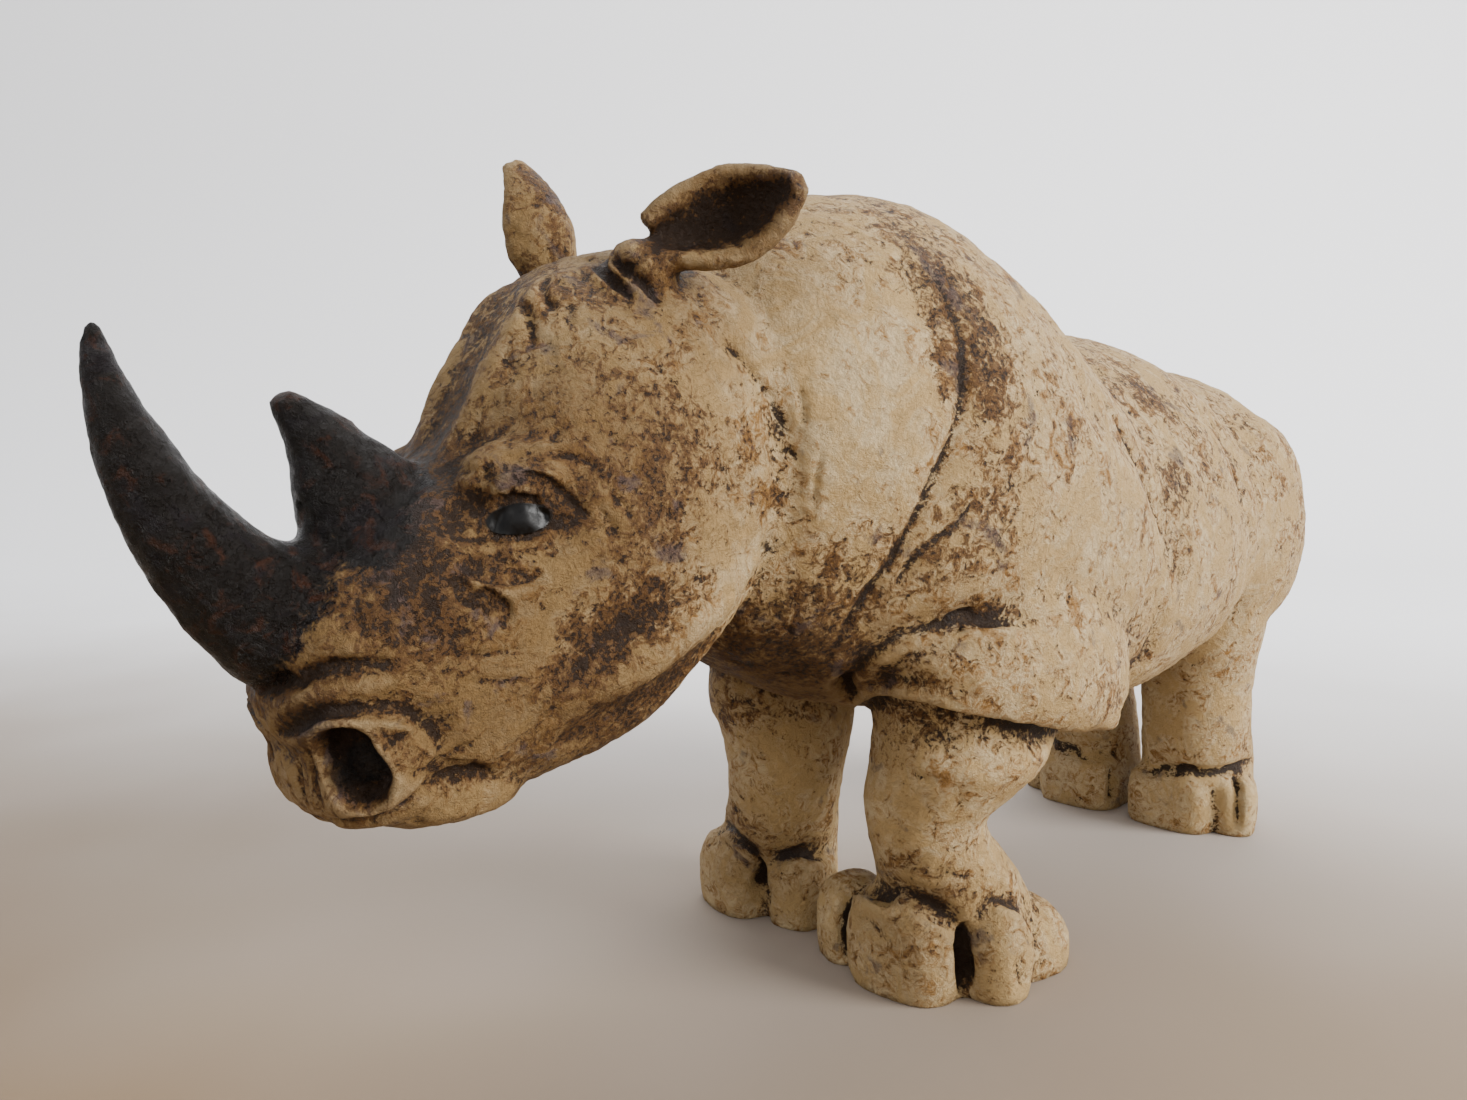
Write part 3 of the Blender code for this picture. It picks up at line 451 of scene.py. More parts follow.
def blend_joins(ob, rounds):
    """The lumps smoothed into each other, less on the horns, face and feet and hardly on the ears."""
    co = points_of(ob.data)
    x, y, z = np.abs(co[:, 0]), co[:, 1], co[:, 2]
    weight = np.ones(len(co))
    for off, y_from, y_to, z_from, z_to, softness in FIRM_PLACES:
        weight[(x > off) & (y > y_from) & (y < y_to) & (z > z_from) & (z < z_to)] = softness
    group = ob.vertex_groups.new(name='soft')
    for level in np.unique(weight):
        group.add(np.flatnonzero(weight == level).tolist(), float(level), 'REPLACE')
    smooth = ob.modifiers.new('Smooth', 'SMOOTH')
    smooth.vertex_group = group.name
    smooth.factor = BLEND_PULL
    smooth.iterations = rounds
    return applied(ob)


def press(co, normals, tree, kind, radius, depth, line):
    """Press one stroke into the clay along a line of points, which is first laid on the surface.

    A groove sinks by depth. In a fold the clay to the left of the stroke, seen from outside, stands
    proud of the line and the clay to the right sinks under it. A pit goes straight in with steep
    walls. A negative depth raises a ridge."""
    path = np.array([tree.find_nearest(Vector(p))[0] for p in catmull(line, STROKE_STEPS)])
    low, high = path.min(0) - radius, path.max(0) + radius
    near = np.flatnonzero(((co > low) & (co < high)).all(1))
    if len(near) == 0:
        return
    p = co[near]
    best = np.full(len(near), np.inf)
    share = np.zeros(len(near))
    left = np.zeros(len(near))
    ends = list(zip(path[:-1], path[1:]))
    for k, (a, b) in enumerate(ends):
        run = b - a
        t = np.clip(((p - a) @ run) / max(run @ run, 1e-9), 0, 1)
        off = p - (a + t[:, None] * run)
        far = np.linalg.norm(off, axis=1)
        closer = far < best
        best[closer] = far[closer]
        share[closer] = (k + t[closer]) / len(ends)
        turned = np.cross(normals[near], run)
        left[closer] = np.sign((turned * off).sum(1))[closer]
    grip = np.ones(len(near))
    if len(line) > 2:
        grip = np.clip(np.minimum(share, 1 - share) / STROKE_TAPER, 0, 1) ** TAPER_POWER
    s = np.clip(best / (radius * (STROKE_POINT + (1 - STROKE_POINT) * grip)), 0, 1)
    fade = (1 - s) ** 2 * (1 + 2 * s) * grip
    push = normals[near]
    if kind == 'pit':
        wall = np.clip((1 - s) / PIT_WALL, 0, 1)
        fade = wall ** 2 * (3 - 2 * wall)
        push = np.tile((push * fade[:, None]).sum(0), (len(near), 1))
        push /= np.linalg.norm(push, axis=1)[:, None]
    amount = -depth * fade
    if kind == 'fold':
        rise = np.clip(s / FOLD_EDGE, 0, 1)
        amount = np.where(left > 0, depth * fade * (FOLD_PROUD * rise - (1 - rise)), amount)
    co[near] += push * amount[:, None]


def eye_strokes(eye):
    """The strokes of an eye, brought from its own layout to the side of the head."""
    middle, back, up = (np.array(v, float) for v in (EYE_MIDDLE, EYE_BACK, EYE_UP))
    return [(kind, radius, depth, True, [tuple(middle + back * a + up * b) for a, b in line])
            for kind, radius, depth, line in eye]


def carve(ob, strokes):
    """All the strokes pressed into the object's mesh, the paired ones on both flanks."""
    mesh = ob.data
    for group in strokes:
        co = points_of(mesh)
        normals = normals_of(mesh)
        tree = BVHTree.FromObject(ob, bpy.context.evaluated_depsgraph_get())
        for kind, radius, depth, paired, line in group:
            press(co, normals, tree, kind, radius, depth, line)
            if paired:
                mirrored = [(-x, y, z) for x, y, z in reversed(line)]
                press(co, normals, tree, kind, radius, depth, mirrored)
        mesh.vertices.foreach_set('co', co.astype(np.float32).ravel())
        mesh.update()
    return ob


def settle(ob):
    """The edges of the strokes eased, as a damp sponge leaves them."""
    ease = ob.modifiers.new('Ease', 'SMOOTH')
    ease.factor = SPONGE_PULL
    ease.iterations = SPONGE_ROUNDS
    return applied(ob)


# The grain for the looks, the triangles that are kept, how much less the head is thinned, and where
# the head ends.
FINE_GRAIN = 0.7
TRIANGLES = 188000
FINE_HEAD = 0.35
HEAD_BACK = -112

# Fine grooves that only the looks carry: radius, depth, whether the other flank has one, and the line.
CRACKS = [
    (1.8, 0.9, False, [(9, -159, 168), (12, -162, 164), (16, -162, 160)]),
    (1.8, 0.9, False, [(8, -165, 163), (13, -166, 159), (16, -167, 153)]),
    (2.0, 0.9, False, [(7, -148, 173), (13, -151, 170), (18, -151, 166), (23, -149, 162)]),
    (1.8, 0.8, False, [(14, -146, 171), (20, -147, 166), (25, -144, 161)]),
    (1.6, 0.8, True, [(29, -133, 156), (31, -128, 151), (32, -123, 145), (33, -119, 137)]),
    (1.4, 0.7, True, [(35, -117, 145), (35, -116, 139)]),
    (1.4, 0.7, True, [(38, -114, 134), (37, -115, 127), (36, -115, 119)]),
    (2.2, 1.2, True, [(40, -80, 172), (46, -79, 158), (50, -82, 145), (49, -87, 132), (47, -91, 124),
        (41, -97, 109), (34, -101, 98), (26, -101, 87)]),
    (1.8, 0.9, True, [(52, -83, 121), (50, -86, 116), (45, -92, 111), (41, -95, 103)]),
    (1.8, 0.9, True, [(56, -66, 93), (52, -71, 94.5), (47, -80, 95), (40, -89, 92), (31, -93, 87)]),
    (2.4, 1.6, True, [(26, -93, 84), (22, -91, 79), (18, -84, 73)]),
    (1.6, 0.9, True, [(22, -199, 81), (21, -192, 82), (23, -186, 85)]),
    (1.6, 0.9, True, [(21, -197, 77), (21, -193, 79), (21, -187, 80)]),
    (1.8, 1.0, True, [(2, -216, 95), (8, -215.5, 97), (14, -213, 99), (19, -208, 100.5), (24, -198, 101)]),
    (2.0, 1.2, True, [(2, -214, 88), (8, -214, 89), (13, -212, 91), (18, -208.5, 93.5), (22, -203, 94)]),
    (1.4, 0.6, True, [(23, -203, 87), (24, -198, 88), (24.5, -194, 84)]),
    (1.2, 0.5, True, [(12, -212, 87), (11, -212, 81), (12, -209, 76)]),
    (1.2, 0.5, True, [(7, -213, 86), (6, -213, 80), (7, -211, 75)]),
    (1.2, 0.5, True, [(26, -192, 101), (27, -184, 100), (28, -176, 101)]),
    (1.2, 0.5, True, [(25, -190, 96), (26, -183, 95), (27, -176, 95)]),
    (1.6, 0.8, False, [(17, -82, 19), (23, -83, 17), (29, -83, 14)]),
    (1.2, 0.5, False, [(32, -81, 57.5), (36, -80, 57), (40, -79, 57)]),
    (1.2, 0.5, False, [(38, -78, 33), (42, -74, 32), (45, -68, 31)]),
    (2.0, 1.0, True, [(56, -30, 151), (59, -20, 140), (60, -10, 122), (59, 0, 104)]),
    (1.8, 1.0, True, [(42, 32, 151), (50, 46, 140), (55, 51, 128), (57, 53, 110)]),
    (1.6, 0.9, True, [(39, 96, 23), (38, 88, 22), (34, 80, 21), (26, 73, 21), (15, 71, 20)]),
    (1.8, 1.0, False, [(41, -70, 16), (38, -75, 21.5), (32, -79, 25), (24, -81, 25.5), (15, -78, 23)]),
    (1.8, 1.0, False, [(52, -53, 13), (50, -55, 19), (47, -59, 23), (44, -64, 24)]),
    (1.8, 1.0, False, [(-26, -74, 16), (-28, -77, 21.5), (-34, -79, 24), (-42, -78, 24.5)]),
]
# Fine grooves of the eyelids and the brow, laid out like the eye: radius, depth and the line.
EYE_LINES = [
    (9, 2.2, [(-14, 4), (-10, 9), (-3, 11.5), (5, 11)]),
    (5, 1.0, [(-14, 0), (-11.5, 3.5), (-8, 6)]),
    (2.6, -0.8, [(-10.5, -1), (-7.5, 1.4), (-4.6, 3.4), (-0.8, 4.4), (2.6, 3.6), (5.6, 0.8), (9, -1)]),
    (2.2, -0.6, [(7, -1.6), (4.4, -3.2), (1, -4.4), (-3.2, -4.4), (-7.5, -2.8), (-10, -1.8)]),
    (1.5, 1.0, [(-10, -1), (-6.5, 0.4), (-3.4, 2.1), (-0.4, 2.6), (2.4, 1.9), (4.6, 0.2), (9, -1.4)]),
    (1.4, 0.9, [(-8.5, -1.8), (-4.5, -2.7), (-0.5, -3), (3, -2.3), (6.5, -1.2)]),
    (1.6, 1.1, [(-12, -1.2), (-9, 2.6), (-5, 5.9), (-0.6, 7), (3.6, 5.8), (7.4, 2), (12, -1.8)]),
    (1.3, 0.6, [(-8.5, -4), (-4, -6.2), (0, -6.8), (4.4, -6), (8, -2.6)]),
    (1.3, 0.6, [(-10.5, 3.5), (-6.5, 8), (-1, 9.8), (5, 8.8), (9, 5.6)]),
    (1.5, 0.8, [(-8, 9.5), (-3, 12.4), (4, 12.6), (10, 10.4), (15, 7)]),
    (1.3, 1.1, [(-12, -5), (-7.1, -8), (-2.7, -9.6), (2.5, -9.8)]),
    (1.3, 1.1, [(-13.5, -8.4), (-11, -12), (-7.9, -14.2), (-5.6, -16.4), (-4.6, -19.5)]),
    (1.4, 0.7, [(12.5, 1), (15, -2), (17, -6)]),
    (1.3, 0.6, [(15, 4), (18.5, 0), (20, -4)]),
    (1.2, 0.5, [(11, -2.5), (14, -3.5), (16, -6)]),
]
# Short marks of the fingers and tools: the seed of their places, how many, how far back none of the
# drawn ones is left out, the share left out behind that, and their bend, length, radius and depth.
MARK_SEED = 11
MARKS = 900
MARKS_BACK = -80
MARKS_SPARED = 0.6
MARK_BEND = 0.25
MARK_LENGTH = (3.0, 9.0)
MARK_RADIUS = (1.1, 2.2)
MARK_DEPTH = (0.08, 0.35)
# Hand-modelled unevenness: size of the dents and how far they move the clay, in figure units.
DENTS = [(14.0, 0.55), (5.5, 0.32), (2.2, 0.16)]


def dented(ob, grain, reach):
    """The skin moved in and out by soft clouds of dents of one size."""
    clouds = bpy.data.textures.new('dents', 'CLOUDS')
    clouds.noise_scale = grain
    clouds.noise_depth = 2
    dent = ob.modifiers.new('Dents', 'DISPLACE')
    dent.texture = clouds
    dent.texture_coords = 'LOCAL'
    dent.mid_level = 0.5
    dent.strength = 2 * reach
    return applied(ob)


def grooves(rows):
    """Strokes that are all grooves."""
    return [('groove', *row) for row in rows]


def scratch(ob):
    """Short marks scattered over the skin, most of them on the head, chest and shoulders."""
    rng = np.random.default_rng(MARK_SEED)
    mesh = ob.data
    co = points_of(mesh)
    normals = normals_of(mesh)
    start = co.copy()
    tree = BVHTree.FromObject(ob, bpy.context.evaluated_depsgraph_get())
    count = 0
    while count < MARKS:
        k = rng.integers(len(co))
        front = start[k, 1] < MARKS_BACK
        if not front and rng.random() < MARKS_SPARED:
            continue
        count += 1
        along = np.cross(normals[k], rng.normal(size=3))
        along /= np.linalg.norm(along)
        bend = np.cross(normals[k], along)
        size = rng.uniform(*MARK_LENGTH)
        line = [tuple(start[k] + along * size * (t - 0.5) + bend * size * MARK_BEND * math.sin(3 * t))
                for t in (0.0, 0.5, 1.0)]
        press(co, normals, tree, 'groove', rng.uniform(*MARK_RADIUS), rng.uniform(*MARK_DEPTH), line)
    mesh.vertices.foreach_set('co', co.astype(np.float32).ravel())
    mesh.update()
    return ob


# How far each round of easing moves a value towards its neighbours' mean.
EASE_PULL = 0.6


def edges_of(mesh):
    """Pairs of points joined by an edge."""
    pairs = np.empty(len(mesh.edges) * 2, np.int32)
    mesh.edges.foreach_get('vertices', pairs)
    return pairs.reshape(-1, 2)


def eased(values, pairs, rounds):
    """Values at the points, each moved so many times towards its neighbours' mean."""
    count = len(values)
    share = np.bincount(pairs[:, 0], minlength=count) + np.bincount(pairs[:, 1], minlength=count)
    share = np.maximum(share, 1)
    out = values.copy()
    for _ in range(rounds):
        for k in range(out.shape[1]):
            total = (np.bincount(pairs[:, 0], out[pairs[:, 1], k], count)
                     + np.bincount(pairs[:, 1], out[pairs[:, 0], k], count))
            out[:, k] = (1 - EASE_PULL) * out[:, k] + EASE_PULL * total / share
    return out


# Recesses of three sizes: the rounds of easing that fill one, and the depth that reads as full of wash.
RECESSES = {'nick': (6, 0.14), 'crease': (30, 1.1), 'valley': (120, 2.4)}


def recesses_of(mesh):
    """How deep each point lies in a recess of each size, or stands out if below zero."""
    co = points_of(mesh)
    normals = normals_of(mesh)
    pairs = edges_of(mesh)
    out = []
    flat = co
    done = 0
    for rounds, full in RECESSES.values():
        flat = eased(flat, pairs, rounds - done)
        done = rounds
        out.append(np.clip(((flat - co) * normals).sum(1) / full, -1, 1))
    return eased(np.stack(out, axis=1), pairs, 1)


# Where the wash was left thick, or below zero rubbed away, on both flanks and on one: x, y, z, reach
# and strength.
WASH_PAIRS = [
    (31, -78, 182, 10, 0.7), (38, -79, 173, 12, 1.0), (45, -77, 164, 13, 1.6), (50, -76, 150, 14, 1.8),
    (54, -74, 134, 13, 0.7), (54, -76, 118, 16, 0.7), (47, -88, 112, 15, 0.8), (27, -110, 95, 22, 1.1),
    (8, -112, 86, 18, 0.9), (26, -100, 86, 14, 0.8), (38, -104, 108, 12, 0.7), (30, -90, 82, 9, 0.7),
    (10, -78, 196, 18, 0.7), (30, -62, 190, 16, 0.4), (14, -160, 165, 10, 0.7), (20, -150, 168, 10, 0.9),
    (23, -147, 172, 8, 0.8), (28, -155, 148, 12, 0.3), (32, -148, 140, 12, 0.6), (34, -150, 128, 13, 0.6),
    (34, -157, 122, 10, 0.6), (29, -167, 98, 9, 1.1), (31, -158, 103, 9, 1.2), (33, -148, 107, 8, 0.8),
    (27, -173, 93, 7, 0.8), (33, -165, 131, 5, 1.1), (12, -186, 130, 13, 1.3), (18, -193, 122, 13, 1.4),
    (21, -197, 114, 13, 1.2), (22, -199, 105, 13, 0.9), (25, -187, 115, 9, 0.7), (26, -190, 106, 9, 0.5),
    (8, -214, 95, 12, 1.2), (15, -210, 92, 9, 0.9), (17.5, -206, 83, 13, 0.8), (16, -206, 74, 9, 0.6),
    (18, -182, 76, 14, 0.5), (23, -161, 84, 15, 0.9), (22, -148, 88, 14, 1.0), (18, -136, 92, 14, 0.9),
    (35, -80, 66, 12, 0.8), (50, -60, 60, 12, 0.6), (57, -40, 70, 12, 0.6), (54, -8, 76, 11, 0.9),
    (46, -75, 92, 11, 0.6), (40, -82, 84, 10, 0.6), (60, -50, 140, 12, 0.4), (58, -12, 128, 12, 0.4),
    (54, 7, 120, 12, 1.2), (56, 4, 101, 10, 0.8), (40, 14, 146, 11, 1.1), (55, 50, 126, 10, 0.7),
    (45, 62, 135, 12, 0.5), (40, 80, 138, 9, 0.6), (50, 92, 93, 12, 0.5), (40, 88, 24, 10, 0.8),
    (24, 74, 26, 9, 0.6), (28, -140, 178, 12, 0.5), (26, -180, 136, 5, -1.6), (29, -179, 125.5, 9, 2.0),
    (30, -170, 123.5, 5, 1.3), (27, -187, 122.5, 5, 1.3), (38, -130, 184, 15, 0.6),
    (17.5, -206, 83, 10, 0.8), (20, 80, 40, 24, -0.7), (52, 30, 140, 16, 0.6), (30, 10, 165, 16, 0.4),
    (54, 24, 118, 10, 0.6), (38, -108, 152, 24, -1.2), (41, -104, 136, 18, -1.0), (30, -118, 168, 14, -0.6),
    (31, -144, 101, 8, -1.0), (31, -132, 108, 8, -1.2), (30, -123, 113, 8, -1.2), (29, -155, 94, 6, -0.8),
    (25, -172, 89, 6, -0.7), (24, -182, 87, 7, -0.9), (30, -171, 114, 6, -1.2), (28, -176, 106, 6, -1.0),
    (27, -176, 99, 5, -0.9), (58, -42, 108, 24, -0.4), (55, 20, 100, 30, -0.5), (48, 75, 80, 30, -0.5),
    (20, 71, 12, 11, -0.9), (44, 90, 55, 18, -0.4),
]
WASH_SINGLES = [
    (0, -30, 188, 16, 0.4), (0, -163, 167, 17, 1.1), (2, -173, 150, 15, 1.2), (0, -181, 139, 13, 1.3),
    (36, -76, 30, 10, 0.7), (42, -68, 27, 8, 0.8), (45, -55, 20, 12, 0.7), (41, -64, 10, 9, 0.6),
    (-28, -78, 28, 10, 0.8), (-16, -66, 24, 9, 0.8), (0, 20, 168, 20, 0.4), (0, 80, 158, 24, 0.5),
    (0, 128, 130, 20, 0.8), (0, 20, 58, 26, 0.5), (-26, -70, 60, 16, 0.5), (-24, -142, 186, 16, 0.6),
    (38, 84, 12, 14, -0.7), (30, -62, 46, 14, -0.7), (20, -82, 48, 12, -0.5), (-26, -80, 50, 12, -0.6),
    (24, -84, 10, 12, -0.3), (-40, -79, 12, 12, -0.3),
]
# Where the clay is dulled, partly by a real thin film of wash (on the ears) and partly by painted shade on
# the head, chest and the fronts of the forelegs, which face away from the window light: x, y, z, reach and
# strength, on both flanks.
FILM_AND_SHADE_SPOTS = [
    (20, -195, 100, 48, 1.0), (24, -165, 130, 42, 0.9), (20, -145, 160, 34, 0.7), (20, -165, 85, 36, 0.9),
    (26, -140, 125, 30, 0.45), (12, -98, 84, 34, 0.9), (30, -80, 100, 24, 0.5), (30, -72, 18, 24, 0.5),
    (-26, -143, 186, 22, 0.9), (0, -150, 176, 26, 0.6), (36, -128, 180, 30, 0.9), (34, -118, 192, 26, 0.7),
]
# The dark glaze of the horns, which runs out over the top of the snout: x, y, z and reach.
HORN_GLAZE = [
    (0, -214, 108, 19), (0, -204, 113, 19), (0, -193, 120, 20), (0, -186, 124, 15), (10, -196, 118, 13),
    (-10, -196, 118, 13), (8, -189, 126, 9), (-8, -189, 126, 9),
]
# How much wider the spots of wash and of film with its painted shade are drawn, and the least and most wash.
WASH_SPREAD = 1.25
FILM_AND_SHADE_SPREAD = 1.3
WASH_LEAST = -1.2
WASH_MOST = 2.0
# How steeply the film with its painted shade, the painted shade in the nostril pit and the glaze come in,
# how far the glaze reaches past a horn, and its steps to a span of the horn.
FILM_AND_SHADE_GAIN = 1.3
NOSTRIL_SHADE_GAIN = 1.8
HORN_GAIN = 1.6
SNOUT_GAIN = 1.5
HORN_EDGE = 9
HORN_STEPS = 3
# The nostril's hollow, painted near black as painted shade: its middle and reach.
NOSTRIL_MIDDLE = (17.5, -206, 83)
NOSTRIL_SHADE_REACH = 8.5
# The eyeball's half length and half height, how far forward it sits, how full its middle and how
# soft its edge is, and how deep it goes.
EYEBALL_LONG = 6.0
EYEBALL_HIGH = 2.9
EYEBALL_FORWARD = 0.4
EYEBALL_CORE = 2.2
EYEBALL_EDGE = 1.8
EYEBALL_DEPTH = 9
# The hollow of an ear: from and to along its length, its width and depth as shares of the half width,
# and how steep its edge is.
HOLLOW_FROM = 0.12
HOLLOW_TO = 0.85
HOLLOW_WIDTH = 0.78
HOLLOW_DEPTH = 1.3
HOLLOW_EDGE = 1.6


def spot(co, x, y, z, reach, both):
    """One at a place, falling softly to nothing at its reach."""
    far = np.linalg.norm(co - (x, y, z), axis=1)
    if both:
        far = np.minimum(far, np.linalg.norm(co - (-x, y, z), axis=1))
    s = np.clip(1 - far / reach, 0, 1)
    return s * s * (3 - 2 * s)


def glaze_of(co):
    """How far each point belongs to the dark glaze of the horns."""
    out = np.zeros(len(co))
    for rows in (FRONT_HORN, REAR_HORN):
        for y, z, half_width, *_ in catmull(rows, HORN_STEPS):
            reach = half_width + HORN_EDGE
            out = np.maximum(out, np.clip(HORN_GAIN * spot(co, 0, y, z, reach, False), 0, 1))
    for x, y, z, reach in HORN_GLAZE:
        out = np.maximum(out, np.clip(SNOUT_GAIN * spot(co, x, y, z, reach, False), 0, 1))
    return out


def eye_of(co):
    """How far each point belongs to an eyeball."""
    middle, back, up = (np.array(v, float) for v in (EYE_MIDDLE, EYE_BACK, EYE_UP))
    out = np.zeros(len(co))
    for flip in (1, -1):
        p = co * (flip, 1, 1) - middle
        far = np.hypot((p @ back + EYEBALL_FORWARD) / EYEBALL_LONG, (p @ up) / EYEBALL_HIGH)
        inside = np.clip(EYEBALL_CORE - EYEBALL_EDGE * far, 0, 1)
        out = np.maximum(out, inside * (np.abs(p[:, 0]) < EYEBALL_DEPTH))
    return out


def ear_of(co):
    """How far each point lies in the hollow of an ear."""
    out = np.zeros(len(co))
    for root, tip, opening, half_width, *_ in EARS.values():
        root, tip, opening = np.array(root), np.array(tip), np.array(opening, float)
        opening /= np.linalg.norm(opening)
        run = tip - root
        t = np.clip(((co - root) @ run) / (run @ run), HOLLOW_FROM, HOLLOW_TO)
        off = co - (root + t[:, None] * run)
        side = off - (off @ opening)[:, None] * opening
        near = np.linalg.norm(side, axis=1) / (half_width * HOLLOW_WIDTH)
        depth = np.abs(off @ opening) / (half_width * HOLLOW_DEPTH)
        out = np.maximum(out, np.clip(HOLLOW_EDGE * (1 - near), 0, 1) * (depth < 1))
    return out


def noted(ob, recesses):
    """The figure's marks kept at its points, for the materials."""
    mesh = ob.data
    co = points_of(mesh)
    wash = np.zeros(len(co))
    for spots, both in ((WASH_PAIRS, True), (WASH_SINGLES, False)):
        for x, y, z, reach, strength in spots:
            wash += strength * spot(co, x, y, z, reach * WASH_SPREAD, both)
    # The film of wash, which also lays painted shade over the head, chest and foreleg fronts.
    film_and_shade = np.zeros(len(co))
    for x, y, z, reach, strength in FILM_AND_SHADE_SPOTS:
        film_and_shade = np.maximum(film_and_shade, strength * spot(co, x, y, z, reach * FILM_AND_SHADE_SPREAD, True))
    # The nostril's hollow, painted near black as painted shade.
    pit = spot(co, *NOSTRIL_MIDDLE, NOSTRIL_SHADE_REACH, True)
    sheets = {'wash': np.clip(wash, WASH_LEAST, WASH_MOST), 'film_and_shade': np.clip(FILM_AND_SHADE_GAIN * film_and_shade, 0, 1),
              'pit': np.clip(NOSTRIL_SHADE_GAIN * pit, 0, 1), 'glaze': glaze_of(co), 'eyeball': eye_of(co),
              'ear': ear_of(co)}
    sheets.update(zip(RECESSES, recesses.T))
    for name, values in sheets.items():
        layer = mesh.attributes.new(name, 'FLOAT', 'POINT')
        layer.data.foreach_set('value', values.astype(np.float32))
    return ob


def cut_soles(ob):
    """The feet cut flat at the floor."""
    bm = bmesh.new()
    bm.from_mesh(ob.data)
    cut = bmesh.ops.bisect_plane(bm, geom=bm.verts[:] + bm.edges[:] + bm.faces[:], plane_co=(0, 0, 0),
                                 plane_no=(0, 0, 1), clear_inner=True)
    rims = [e for e in cut['geom_cut'] if isinstance(e, bmesh.types.BMEdge)]
    bmesh.ops.holes_fill(bm, edges=rims)
    bmesh.ops.triangulate(bm, faces=bm.faces)
    bm.to_mesh(ob.data)
    bm.free()
    return ob


def thin_to(ob, triangles):
    """Fewer triangles, the finest of them on the head."""
    co = points_of(ob.data)
    weight = np.where(co[:, 1] < HEAD_BACK, FINE_HEAD, 1.0)
    group = ob.vertex_groups.new(name='coarse')
    for level in np.unique(weight):
        group.add(np.flatnonzero(weight == level).tolist(), float(level), 'REPLACE')
    thin = ob.modifiers.new('Thin out', 'DECIMATE')
    thin.ratio = triangles / sum(len(f.vertices) - 2 for f in ob.data.polygons)
    thin.vertex_group = group.name
    return applied(ob)


def sculpt():
    """The figure at the fine grain, in units of the figure, with its marks noted."""
    ob = rough_out()
    remesh = ob.modifiers.new('Press together', 'REMESH')
    remesh.mode = 'VOXEL'
    remesh.voxel_size = FINE_GRAIN
    ob = applied(ob)
    ob = blend_joins(ob, round(BLEND_ROUNDS * (CLAY_GRAIN / FINE_GRAIN) ** 2))
    ob = carve(ob, [*STROKES, eye_strokes(EYE)])
    ob = settle(ob)
    ob = carve(ob, [grooves(CRACKS), eye_strokes(grooves(EYE_LINES))])
    ob = scratch(ob)
    for grain, reach in DENTS:
        ob = dented(ob, grain, reach)
    fine = points_of(ob.data)
    recesses = recesses_of(ob.data)
    tree = KDTree(len(fine))
    for k, p in enumerate(fine):
        tree.insert(p, k)
    tree.balance()
    ob = thin_to(ob, TRIANGLES)
    ob = cut_soles(ob)
    nearest = [tree.find(p)[1] for p in points_of(ob.data)]
    return noted(ob, recesses[nearest])


def to_world(ob):
    """The figure brought to its real size, standing where the CAD solid stands."""
    co = points_of(ob.data)
    middle = (co.min(0) + co.max(0)) / 2
    co[:, :2] -= middle[:2]
    ob.data.vertices.foreach_set('co', (co * UNIT).astype(np.float32).ravel())
    ob.data.update()
    return middle


# The photograph's camera: place in figure units, turns in degrees, focal length and picture width in
# pixels, the sensor in millimetres and the nearest thing seen in metres.
CAMERA_PLACE = (190.2, -275.1, 134.5)
CAMERA_YAW = 48.22
CAMERA_PITCH = 5.49
CAMERA_ROLL = -1.64
CAMERA_FOCAL_PIXELS = 1081.7
PHOTO_WIDTH = 1467
SENSOR_WIDTH = 36.0
CAMERA_NEAR = 0.01


def camera(middle):
    """The photograph's view of the figure."""
    yaw, pitch, roll = (math.radians(v) for v in (CAMERA_YAW, CAMERA_PITCH, CAMERA_ROLL))
    back = Vector((math.sin(yaw) * math.cos(pitch), -math.cos(yaw) * math.cos(pitch), math.sin(pitch)))
    right = (-back).cross(Vector((0, 0, 1))).normalized()
    up = right.cross(-back)
    across = right * math.cos(roll) + up * math.sin(roll)
    above = up * math.cos(roll) - right * math.sin(roll)
    matrix = Matrix((across, above, back)).transposed().to_4x4()
    place = Vector(CAMERA_PLACE)
    matrix.translation = Vector(((place.x - middle[0]) * UNIT, (place.y - middle[1]) * UNIT, place.z * UNIT))
    data = bpy.data.cameras.new('camera')
    data.sensor_width = SENSOR_WIDTH
    data.sensor_fit = 'HORIZONTAL'
    data.lens = SENSOR_WIDTH * CAMERA_FOCAL_PIXELS / PHOTO_WIDTH
    data.clip_start = CAMERA_NEAR
    ob = bpy.data.objects.new('camera', data)
    ob.matrix_world = matrix
    bpy.context.scene.collection.objects.link(ob)
    bpy.context.scene.camera = ob


# The soft lights: place, size, power and colour, and the place that they look at.
LIGHTS = {
    'window': ((1.75, 0.8, 0.75), 1.2, 88, (1.0, 0.99, 0.97)),
    'ceiling': ((-0.5, 0.6, 2.1), 1.6, 24, (1.0, 0.99, 0.97)),
    'fill': ((0.9, -1.7, 0.9), 1.6, 10, (1.0, 0.96, 0.9)),
}
LIGHT_AIM = (0, 0, 0.08)
WORLD_TINT = (0.95, 0.97, 1.0, 1)
WORLD_STRENGTH = 1.0


def light_up():
    """The round soft lights and the even light of the room."""
    for name, (place, size, power, colour) in LIGHTS.items():
        data = bpy.data.lights.new(name, 'AREA')
        data.shape = 'DISK'
        data.size = size
        data.energy = power
        data.color = colour
        ob = bpy.data.objects.new(name, data)
        ob.location = place
        ob.rotation_euler = (Vector(LIGHT_AIM) - Vector(place)).to_track_quat('-Z', 'Y').to_euler()
        bpy.context.scene.collection.objects.link(ob)
    world = bpy.data.worlds.new('world')
    bpy.context.scene.world = world
    world.use_nodes = True
    background = world.node_tree.nodes['Background']
    background.inputs['Color'].default_value = WORLD_TINT
    background.inputs['Strength'].default_value = WORLD_STRENGTH


# Where Blender's noise lies, how far most of it strays from there, and its sideways share of a shift.
NOISE_MIDDLE = 0.5
NOISE_SPREAD = 0.09
SHIFT_SHARE = 0.7


